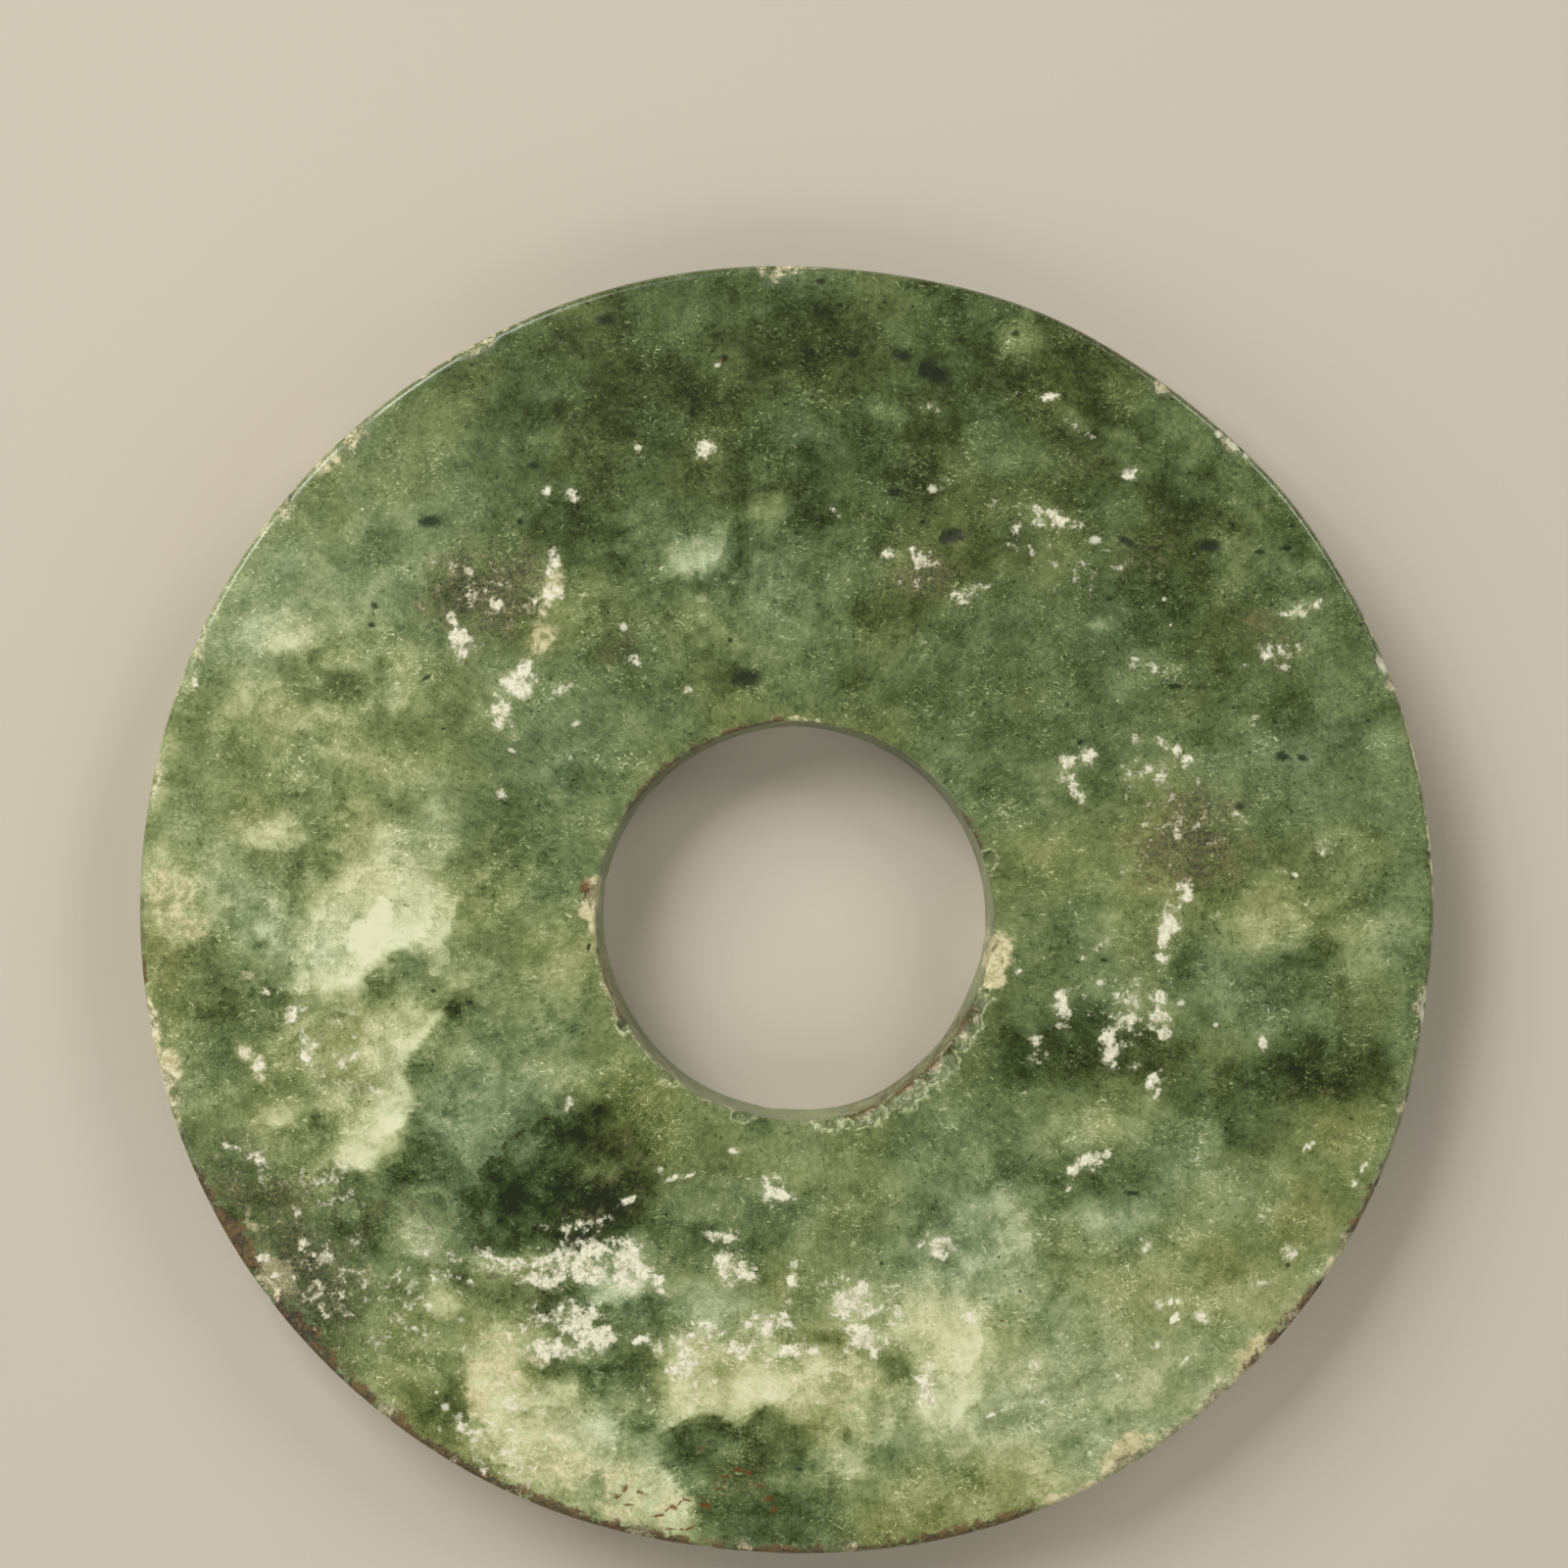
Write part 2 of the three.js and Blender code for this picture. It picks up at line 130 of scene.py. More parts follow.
# Clouds in the stone, broad ones first: middle x and y, half length, half width, lightness
# out of 255, how much of it shows and, where it has one, its turn in degrees.
STONE_LIGHTNESS = 117
CLOUD_CONTRAST = 1.26
CLOUDS = [
    # whole quarters of the disc
    (8, 64, 52, 20, 78, 0.9), (50, 42, 30, 24, 95, 0.85), (64, 6, 20, 24, 115, 0.7),
    (-4, 36, 24, 10, 106, 0.6), (26, 30, 16, 14, 94, 0.7, 20), (-36, 20, 12, 24, 118, 0.6),
    (-60, 12, 22, 40, 133, 0.8), (-46, 56, 12, 8, 120, 0.6, -35), (-55, -42, 15, 13, 103, 0.75),
    (-30, -66, 24, 12, 152, 0.8), (22, -60, 39, 19, 157, 0.85), (-10, -42, 20, 10, 112, 0.5),
    (36, -12, 14, 12, 118, 0.5), (56, -44, 18, 14, 143, 0.75), (15, -38, 11, 7, 126, 0.5),
    (22, -72, 15, 5, 138, 0.5), (-38, -13, 14, 12, 144, 0.7),
    # upper left
    (-62.5, 34, 4.6, 2.3, 160, 0.8, 10), (-55, 31.3, 3.3, 1.5, 156, 0.7, -5),
    (-65, 27.5, 3.2, 3, 152, 0.7), (-59, 24.5, 2.6, 1.5, 150, 0.6, 30),
    (-47.6, 26.4, 2.7, 1.8, 152, 0.7, 40), (-47, 48.5, 2.6, 1.7, 138, 0.6), (-43, 42.5, 4, 2.5, 142, 0.6),
    (-52.5, 49, 2.2, 1.6, 132, 0.5), (-43, 57, 3.2, 2, 131, 0.5), (-55, 19, 2.6, 1.6, 148, 0.6),
    (-51, 19.5, 2.2, 1.5, 145, 0.5), (-77.5, 16.5, 5, 1.6, 165, 0.6, 78), (-52, 44, 4.2, 3, 92, 0.7),
    (-54, 28, 3, 1.2, 98, 0.6), (-60.5, 29.5, 3, 1.5, 102, 0.5, 90), (-50, 22.5, 2.6, 2, 100, 0.5),
    (-62, 19, 4, 3, 106, 0.5), (-38, 38.5, 6.5, 5.5, 84, 0.75), (-41, 29, 4, 3, 98, 0.5),
    # top left of the middle
    (-30, 58.5, 2.6, 1.6, 132, 0.6), (-12, 43.9, 4.2, 2.4, 150, 0.8), (-11.5, 38.8, 3, 2.6, 140, 0.6),
    (-8.5, 46.5, 2, 1.5, 135, 0.6), (-2.2, 49.3, 2.2, 1.9, 146, 0.75), (-4, 39, 2.2, 2, 130, 0.6),
    (-13, 64, 5, 4, 78, 0.7), (-24, 65, 4.5, 3, 82, 0.6), (-15, 53, 4, 2.5, 84, 0.6),
    (-26, 46, 6, 4, 79, 0.75), (-35, 47, 4, 3, 88, 0.6), (-8, 67, 2.6, 1.8, 118, 0.5),
    # top right of the middle
    (24, 59, 2.8, 1.7, 122, 0.6), (2, 60, 3.4, 2.2, 110, 0.5), (7, 57, 3, 2, 106, 0.4),
    (3, 42, 4, 3, 118, 0.5), (26, 37, 4, 2, 112, 0.5), (29.5, 70, 2.7, 2.2, 133, 0.7),
    (16, 76.4, 3.2, 1.5, 118, 0.5), (39, 50.2, 3.2, 1.6, 118, 0.5), (42.5, 63.5, 3.4, 1.6, 122, 0.5, -30),
    (26, 55, 2.2, 2.6, 112, 0.5, 30), (39.4, 35.3, 1.5, 1.1, 148, 0.7, 20),
    (12.5, 61.5, 2.6, 1.2, 116, 0.6, -30), (36, 60, 3.8, 1, 128, 0.6, -35),
    (41.5, 57.5, 1.8, 1.1, 128, 0.6, -20), (42, 54, 2.6, 1.4, 122, 0.5), (12, 37, 5, 3, 76, 0.7),
    (22, 43.5, 4, 2.5, 72, 0.7), (35, 57, 3.2, 1.6, 78, 0.6), (3, 71, 3.5, 3, 74, 0.7),
    (8, 52, 5, 3, 84, 0.5), (16, 55, 4, 3, 80, 0.5),
    # upper right
    (46, 42, 6, 5, 68, 0.75), (47, 35, 4, 4, 72, 0.6), (46, 49, 6, 3, 76, 0.6),
    (60.5, 25, 5, 2.4, 76, 0.7), (37, 52, 4, 2, 80, 0.5), (53, 30, 8, 4, 84, 0.5),
    (58, 52, 5, 4, 112, 0.6), (64.5, 41.5, 1.9, 1.2, 135, 0.6), (41, 28.5, 3, 2, 116, 0.5),
    (75, 19.5, 3, 3.2, 138, 0.75), (71, 27.5, 3, 3, 116, 0.5), (57, 43.5, 4, 3, 112, 0.5),
    (49, 61, 4, 3, 116, 0.5, -40), (58, 24, 2, 1.5, 98, 0.5),
    # right
    (60, -3, 7, 4, 140, 0.8, 15), (63, -5.5, 2.5, 1.6, 150, 0.6), (71, -4.5, 2.4, 3.2, 148, 0.7),
    (68, 2, 4, 2.4, 124, 0.5), (52, 2, 5, 2.4, 112, 0.4), (60, -9.5, 5, 3.4, 94, 0.7),
    (66, -6, 2.6, 3, 92, 0.6), (61, 9, 5, 4, 92, 0.5), (30, 4, 4, 3, 100, 0.4),
    (50.5, 8, 5.5, 4, 96, 0.6), (38, -4.5, 2.6, 2, 126, 0.5), (29, -5, 2.4, 3, 122, 0.4),
    (70, -12, 4, 3, 112, 0.5), (37, -17, 12, 5, 82, 0.7), (30, -18, 7, 3, 68, 0.7),
    (36, -16.6, 5, 4, 64, 0.8), (44, -17.6, 5, 2.8, 68, 0.7), (38, -12.8, 3, 1.6, 84, 0.6),
    (25.5, -14, 3, 4, 78, 0.6, 60), (53.5, -18.4, 3, 2.2, 136, 0.7), (57.5, -18.2, 2.2, 1.2, 130, 0.6),
    (51.5, -14.8, 3, 1.4, 124, 0.5),
    # lower right
    (60, -21, 14, 5, 80, 0.7), (66.5, -19.8, 7.5, 4.2, 68, 0.8), (62, -23, 6, 2.2, 70, 0.6),
    (55.5, -21.4, 5, 1.8, 76, 0.6), (57.5, -27.8, 4, 2.2, 84, 0.7), (66, -26.5, 5, 1.6, 88, 0.5),
    (76, -20, 1.8, 4, 124, 0.6), (36.5, -27.5, 5.5, 1.9, 152, 0.8), (24, -27, 5, 2.2, 118, 0.5),
    (50, -28.5, 3, 2, 118, 0.5), (41, -32.5, 4, 2.8, 82, 0.7), (33, -33.5, 6, 3.6, 88, 0.6),
    (36, -41, 5, 3, 98, 0.5), (40.5, -37.8, 3.2, 1.5, 148, 0.75, -10), (44, -40, 3, 1.6, 92, 0.5),
    (62, -35.5, 3.4, 2.2, 138, 0.5), (55, -42, 8, 3, 114, 0.5), (41, -46.5, 3.2, 3, 142, 0.5),
    (50, -52, 8, 5, 143, 0.6), (68, -33, 3, 5, 114, 0.5), (61, -49.5, 3, 2, 142, 0.5),
    (43, -42.5, 2, 1.4, 96, 0.5),
    # bottom right of the middle
    (24, -37.3, 5, 1.7, 156, 0.8, 18), (27.5, -42, 3.6, 3.4, 146, 0.7), (17, -37, 3, 2.8, 90, 0.7),
    (7, -36, 3, 5, 118, 0.5), (18, -48, 4, 3, 166, 0.7, -35), (21.3, -54.6, 3.8, 4.8, 203, 0.92),
    (18.5, -51, 4, 2.4, 180, 0.6), (20, -60, 4, 3.2, 178, 0.8, 25), (18, -64, 3, 1.6, 160, 0.5, 30),
    (6, -53.5, 3.4, 1.8, 96, 0.7), (13.2, -55.4, 2.6, 2.6, 106, 0.7), (13, -46, 3, 4, 106, 0.5),
    (26.5, -57.4, 2.6, 1.2, 158, 0.5, -20), (35, -66, 6, 3.6, 160, 0.7), (37, -58, 5, 3.6, 148, 0.5),
    (28, -62.5, 4, 1.4, 118, 0.5, -10), (9, -58.5, 4.4, 2.2, 180, 0.85, -14),
    (4.5, -59.6, 2.4, 1.6, 140, 0.5), (9, -62, 3, 1.2, 150, 0.5), (3.6, -63, 2, 1, 118, 0.5),
    (6, -67.2, 4.2, 2, 154, 0.7, -20), (9, -69.3, 3.2, 1.2, 152, 0.6, -10), (14, -67, 4, 3, 108, 0.6),
    (1, -75, 6, 4, 94, 0.7), (22.5, -71, 1.8, 1.8, 98, 0.6), (31, -73, 4, 2, 156, 0.6, 10),
    (14, -74, 6, 3, 112, 0.6),
    # bottom
    (-9, -59, 6.5, 3, 182, 0.9), (-1.5, -59, 6, 3, 184, 0.9), (-8, -55, 7, 2.2, 172, 0.6),
    (-7, -48.6, 4.2, 2.6, 160, 0.8), (-11, -47, 2.2, 1.6, 146, 0.6), (-2.5, -49.5, 3.2, 1.4, 160, 0.6),
    (-17.5, -26.6, 2.6, 1.5, 136, 0.7, -45), (-10, -29, 7, 3.6, 122, 0.5), (-18, -38, 4, 2, 84, 0.6),
    (-12, -39.6, 5, 2, 82, 0.7), (-5, -41.5, 5, 2, 86, 0.7), (-14, -43, 3, 2.6, 86, 0.6),
    (-1, -30, 5, 3.6, 134, 0.6), (-8, -34.5, 3.4, 1.2, 136, 0.6), (-11.5, -36.6, 2.2, 1.3, 138, 0.6),
    (-3.5, -37.4, 4, 2.2, 88, 0.6), (-5, -46.9, 5, 0.9, 142, 0.6), (9, -33, 3, 2, 122, 0.4),
    (-6, -67.6, 9.6, 4, 90, 0.95), (-7, -75, 5, 3.4, 86, 0.9), (-12, -65.6, 4, 2.4, 88, 0.8, 20),
    (-5, -73, 2.6, 1.5, 112, 0.6), (-1.5, -63.4, 2.4, 1.8, 98, 0.7),
    # lower left of the middle
    (-27, -32.4, 9.5, 7.4, 60, 0.95), (-23, -28.5, 6, 3.6, 62, 0.85), (-34.5, -37, 6, 4, 66, 0.9),
    (-24, -38, 6, 3.4, 58, 0.8), (-28, -41, 6, 1.8, 62, 0.8), (-38.5, -33.8, 3.2, 1.5, 118, 0.6, -30),
    (-36.6, -37.6, 1.5, 1.2, 118, 0.5), (-22.3, -32.4, 2.4, 1.5, 112, 0.6), (-35, -30, 4, 2, 100, 0.5),
    (-45, -32.5, 5, 3, 84, 0.8), (-21.6, -47.2, 4.6, 1.8, 166, 0.85), (-30, -48, 4.6, 1.8, 72, 0.8),
    (-20, -51.2, 4, 2.8, 88, 0.8), (-16, -51, 3, 3, 100, 0.5), (-20.5, -58, 4.2, 5.6, 92, 0.85),
    (-26, -56.6, 4.6, 1.5, 90, 0.7, -10), (-18.5, -63, 1.8, 2.4, 104, 0.6, 30),
    (-26, -58.9, 3, 1.3, 130, 0.5), (-24.5, -62.6, 4, 3.6, 158, 0.85), (-29.5, -60, 1.8, 3, 158, 0.6),
    (-18, -66.8, 3, 2, 166, 0.7), (-30, -67, 4.6, 4, 176, 0.8), (-24, -70, 8, 2.8, 170, 0.8),
    (-17, -73.4, 4.6, 3, 168, 0.8), (-36, -57, 5, 4, 182, 0.85, 90), (-34.6, -53.2, 4, 1.8, 166, 0.7),
    (-34.6, -48.5, 3, 1.8, 96, 0.6), (-37, -43.4, 2.4, 1.8, 140, 0.6),
    # lower left
    (-44.5, -41, 2.2, 2.6, 164, 0.75), (-42.5, -48, 2.2, 2.1, 174, 0.75), (-51, -51, 1.8, 1.7, 158, 0.6),
    (-48, -57, 3.2, 1.6, 152, 0.6), (-49.5, -45.4, 4, 1.6, 146, 0.5, -10),
    (-56, -37.5, 3.2, 1.1, 140, 0.5), (-55, -40.6, 5, 2.4, 80, 0.7), (-57, -47, 3.6, 3.8, 84, 0.75),
    (-57.5, -53, 3.4, 2.8, 84, 0.75), (-61, -34, 4, 3, 90, 0.6, -30), (-51, -43, 2.2, 1.4, 86, 0.6, 30),
    (-50, -47.4, 3, 1.4, 92, 0.6), (-52.6, -55, 2.4, 2, 92, 0.6), (-47.5, -53, 1.6, 2.2, 98, 0.5, 20),
    (-40.4, -44.6, 1.6, 2.6, 98, 0.6), (-46, -60.5, 2, 1.6, 98, 0.5), (-54, -47.6, 1.6, 1.2, 136, 0.5),
    (-48.6, -41, 1.8, 1.2, 134, 0.5), (-68, -33, 3, 4, 82, 0.7, 20), (-62, -38, 5, 1.8, 118, 0.5),
    (-43.5, -62.5, 3.2, 5, 104, 0.8), (-40, -68, 3.6, 1.8, 98, 0.7, -35), (-46, -53, 3, 3, 122, 0.5),
    (-60, -44, 3.2, 4, 58, 0.8, 20), (-53, -49, 4.4, 2.6, 96, 0.4, -20),
    (-64.5, -36.5, 3, 3.4, 82, 0.5, 20), (-57.5, -41.5, 4, 1.4, 128, 0.5, -10),
    (-54.6, -52.4, 1.6, 1.1, 130, 0.5, 30), (-67.8, -29.2, 3, 2.4, 76, 0.6),
    (-64.4, -34, 3.4, 2, 78, 0.55, -30), (-57.2, -43.4, 3.6, 2, 66, 0.6), (-56.6, -49.4, 3, 2, 68, 0.55),
    (-53, -38.4, 3.4, 1.6, 78, 0.5, 20), (-68.5, -39, 2, 3, 84, 0.5, 30),
    # left
    (-63, 9, 5.2, 2.1, 164, 0.75), (-69, 7.5, 3.2, 1.6, 154, 0.6), (-45, 8, 4.2, 3, 166, 0.7),
    (-43, 13, 3.2, 3, 150, 0.6), (-50.5, -0.5, 9, 7, 168, 0.8, 20), (-50.2, 1, 6.6, 5, 188, 0.95),
    (-53.6, -4.6, 7.4, 4.6, 189, 0.95, 35), (-46, -0.5, 3.8, 3.6, 180, 0.9),
    (-62.5, -3, 2.6, 3.2, 162, 0.6), (-76.5, 2, 3, 5, 172, 0.75), (-74, -2, 3, 3, 164, 0.6),
    (-75, 8, 3, 3, 140, 0.5), (-66, -7.4, 4.6, 3, 98, 0.75, 20), (-68, -12.4, 8, 3, 94, 0.8),
    (-74, -7, 3.6, 2.6, 106, 0.6), (-72, -17, 3.2, 2.2, 100, 0.6), (-59, -13, 3, 3, 124, 0.5),
    (-48.4, -15.8, 3.2, 4.2, 174, 0.85, -20), (-49.6, -22, 2.8, 4.6, 172, 0.8),
    (-52.2, -28, 3.2, 2.4, 196, 0.9, 30), (-54.5, -19, 3.4, 4.6, 142, 0.5),
    (-52.5, -22, 2.6, 2, 128, 0.5), (-62, -24.8, 3.2, 2.4, 166, 0.7), (-57, -26.2, 3, 1.4, 98, 0.7),
    (-40.5, -11.8, 3, 1.5, 84, 0.7, 20), (-39, -17, 4, 4, 110, 0.5), (-41.5, -23, 3.6, 3, 106, 0.6),
    # by the bore
    (-30, -4, 3.2, 1.4, 138, 0.6), (-27, -7.5, 2.8, 2.6, 148, 0.6), (-36, -9, 2.2, 1.6, 132, 0.5),
    (-35, 12, 5, 4, 94, 0.6), (-30, 7.6, 5, 3, 98, 0.5), (-33, 3.6, 4, 2, 116, 0.4),
    (-27, 18, 4, 3, 108, 0.4), (-23, 12, 2.6, 3, 126, 0.4, 30), (-38, 22, 4, 3, 128, 0.5),
    (-6, 29, 3, 2, 84, 0.6), (-22, 31.5, 3, 2.2, 88, 0.5), (-21, 27, 4, 2, 96, 0.4),
    (5, 28, 6, 3, 94, 0.5), (16, 30, 5, 3, 96, 0.4),
]

# Where a cloud ends sharply, as one layer of the stone over another. Each line runs with the
# paler side on its left hand; then the rise in lightness and how far it takes to fade.
CLOUD_EDGES = [
    ([(-55, -10), (-54, -9), (-51.5, -7.5), (-50, -5), (-47, -4.5), (-45, -3), (-43, 0),
      (-42.5, 3)], 38, 4),
    ([(-50, -5), (-49, -3), (-49, 1.5)], 16, 2),
    ([(-51.5, -30), (-49.5, -28), (-47, -26.5), (-46, -24), (-47.5, -20), (-46.5, -18.5),
      (-45, -16), (-42, -12)], 44, 3),
    ([(-66, 32.5), (-63.5, 31.8), (-61, 32.2), (-58.5, 33.5)], 28, 2.5),
    ([(-58, 29.8), (-55.5, 29.3), (-52.5, 30)], 28, 2),
    ([(-49.5, 24), (-48, 24.8), (-46.3, 26.3), (-45.6, 28.5)], 30, 2.5),
    ([(-68, 7.8), (-65, 7.3), (-61, 7.4), (-58.5, 8.3)], 26, 2.5),
    ([(-65, -26.5), (-62.5, -27.2), (-60, -26.5), (-58.5, -25)], 34, 2.5),
    ([(-60, -24.8), (-57, -24.4), (-54.5, -25)], 16, 2),
    ([(-51, -29), (-48.5, -27.5), (-46, -28), (-43, -29)], 20, 2),
    ([(-40, -54), (-39.6, -57), (-39.8, -60), (-39, -62), (-37, -63.7), (-36, -65.5), (-35, -67.5)], 24, 4),
    ([(-25.5, -47.4), (-24, -48.5), (-22, -49), (-20, -48.8), (-17.5, -47.7), (-16, -47.2)], 42, 2),
    ([(-17.5, -65.3), (-15.5, -64.8), (-13.5, -63.5), (-11, -62.2), (-9, -62.3), (-7.5, -63), (-6, -64),
      (-5, -63.5), (-3.8, -61.8), (-2.5, -61.6), (-1, -62.5), (0, -63.7)], 48, 2.5),
    ([(-10.5, -77), (-11, -73.5), (-13, -71.5), (-14.5, -69.5), (-16, -67.5), (-17, -65.5)], 40, 3),
    ([(-20.5, -66), (-21.3, -63.5), (-22.5, -61), (-24.8, -59.3)], 26, 2.5),
    ([(21, -58.5), (22.8, -56.8), (24.4, -54.8), (24.4, -52.3), (22.8, -50.5)], 38, 3),
    ([(20.5, -63.8), (22, -62), (24, -60.5), (25, -59)], 30, 3),
    ([(12.8, -60), (12, -59), (10, -57.8), (7, -56.8)], 28, 3),
    ([(0, -65.8), (2.5, -67.3), (4.5, -69), (7, -69.8), (10, -70.3), (12, -69.5)], 20, 3),
    ([(29.5, -45), (30.6, -43), (30.5, -40.5), (29, -38.5)], 22, 3),
    ([(-15.5, 41.8), (-13, 41.2), (-10.5, 41.5), (-8.5, 42.8)], 28, 3),
    ([(54.5, -30.5), (53.8, -28.5), (54.6, -26.5)], 22, 2),
    ([(-66, -0.5), (-65.8, -3), (-65, -5.5)], 18, 2),
    ([(-42.5, -14.5), (-42.2, -12.5), (-40.5, -10.8)], 24, 2),
    ([(-59, 26), (-57.5, 23.6), (-55, 23)], 16, 2),
    ([(36, -26), (33.5, -27.2), (34.5, -28.6)], 10, 2),
]

# Olive (above 0) and bluish (below 0) places. From here a patch is its middle x and y, half
# length, half width, amount and, where it has one, its turn in degrees.
TINTS = [
    (-70, 24, 12, 16, 0.2), (-55, 8, 10, 12, 0.15), (-52, -20, 8, 10, 0.6), (-36, -58, 6, 8, 0.8),
    (-6, -58, 14, 5, 0.8), (-10, -29, 9, 4, 0.5), (-5, -46, 6, 2, 0.6), (60, -3, 8, 5, 0.6),
    (68, -34, 6, 9, 0.7), (55, -42, 10, 4, 0.5), (50, -53, 10, 6, 0.5), (26, -72, 14, 5, 0.9),
    (12, 37, 7, 4, 0.5), (22, 43, 6, 4, 0.6), (35, 62, 12, 8, 0.4), (-42, -66, 7, 5, 0.9),
    (-28, -70, 10, 6, 0.5), (-38, 38, 8, 7, 0.5), (49, 7, 9, 6, 0.7), (-22, -30, 7, 5, 0.7),
    (72, -12, 5, 7, 0.6), (-13, 64, 6, 5, 0.3), (20, -52, 6, 6, 0.4), (-27, -7, 4, 4, 0.4),
    (-45, 10, 6, 6, 0.1), (5, -62, 6, 3, 0.6), (-78, -5, 4, 14, 0.6), (16, 58, 8, 6, 0.2),
    (-33, -34, 9, 7, -0.9), (-38, -30, 6, 4, -0.6), (-22, -47.5, 5, 2, -0.8), (-7, -48.5, 4, 3, -0.5),
    (24, 59, 5, 4, -0.6), (3, 59, 8, 5, -0.4), (-12, 43, 6, 5, -0.6), (3, 42, 6, 5, -0.5),
    (30, 36, 9, 5, -0.5), (40, 50, 6, 3, -0.5), (47, 34, 6, 6, -0.5), (60, 20, 8, 5, -0.4),
    (60, -9, 6, 5, -0.6), (66, -18, 7, 4, -0.5), (38, -13, 5, 3, -0.5), (24, -38, 8, 6, -0.5),
    (12, -43, 8, 6, -0.4), (-2, -38, 8, 4, -0.4), (-24, -62, 5, 5, -0.5), (7, -68, 6, 3, -0.5),
    (36, -66, 7, 4, -0.3), (-38, -25, 7, 4, -0.5), (-30, 20, 10, 8, -0.3), (-52, 45, 6, 5, -0.5),
    (-8, -68, 10, 6, -0.2), (-64, 30, 5, 5, -0.2), (20, -28, 8, 4, -0.3), (40, -38, 5, 3, -0.5),
]

# Where the clouds lie in layers with sharp lower edges.
LAYERED = [
    (-54, -2, 22, 20, 1), (-56, 26, 20, 16, 0.6), (-44, -30, 20, 16, 0.9), (-26, -62, 20, 14, 0.9),
    (4, -60, 22, 12, 0.9), (28, -44, 12, 12, 0.7), (-8, 42, 14, 8, 0.8), (60, -2, 14, 8, 0.6),
    (38, -64, 14, 10, 0.6), (58, 52, 10, 8, 0.4),
]

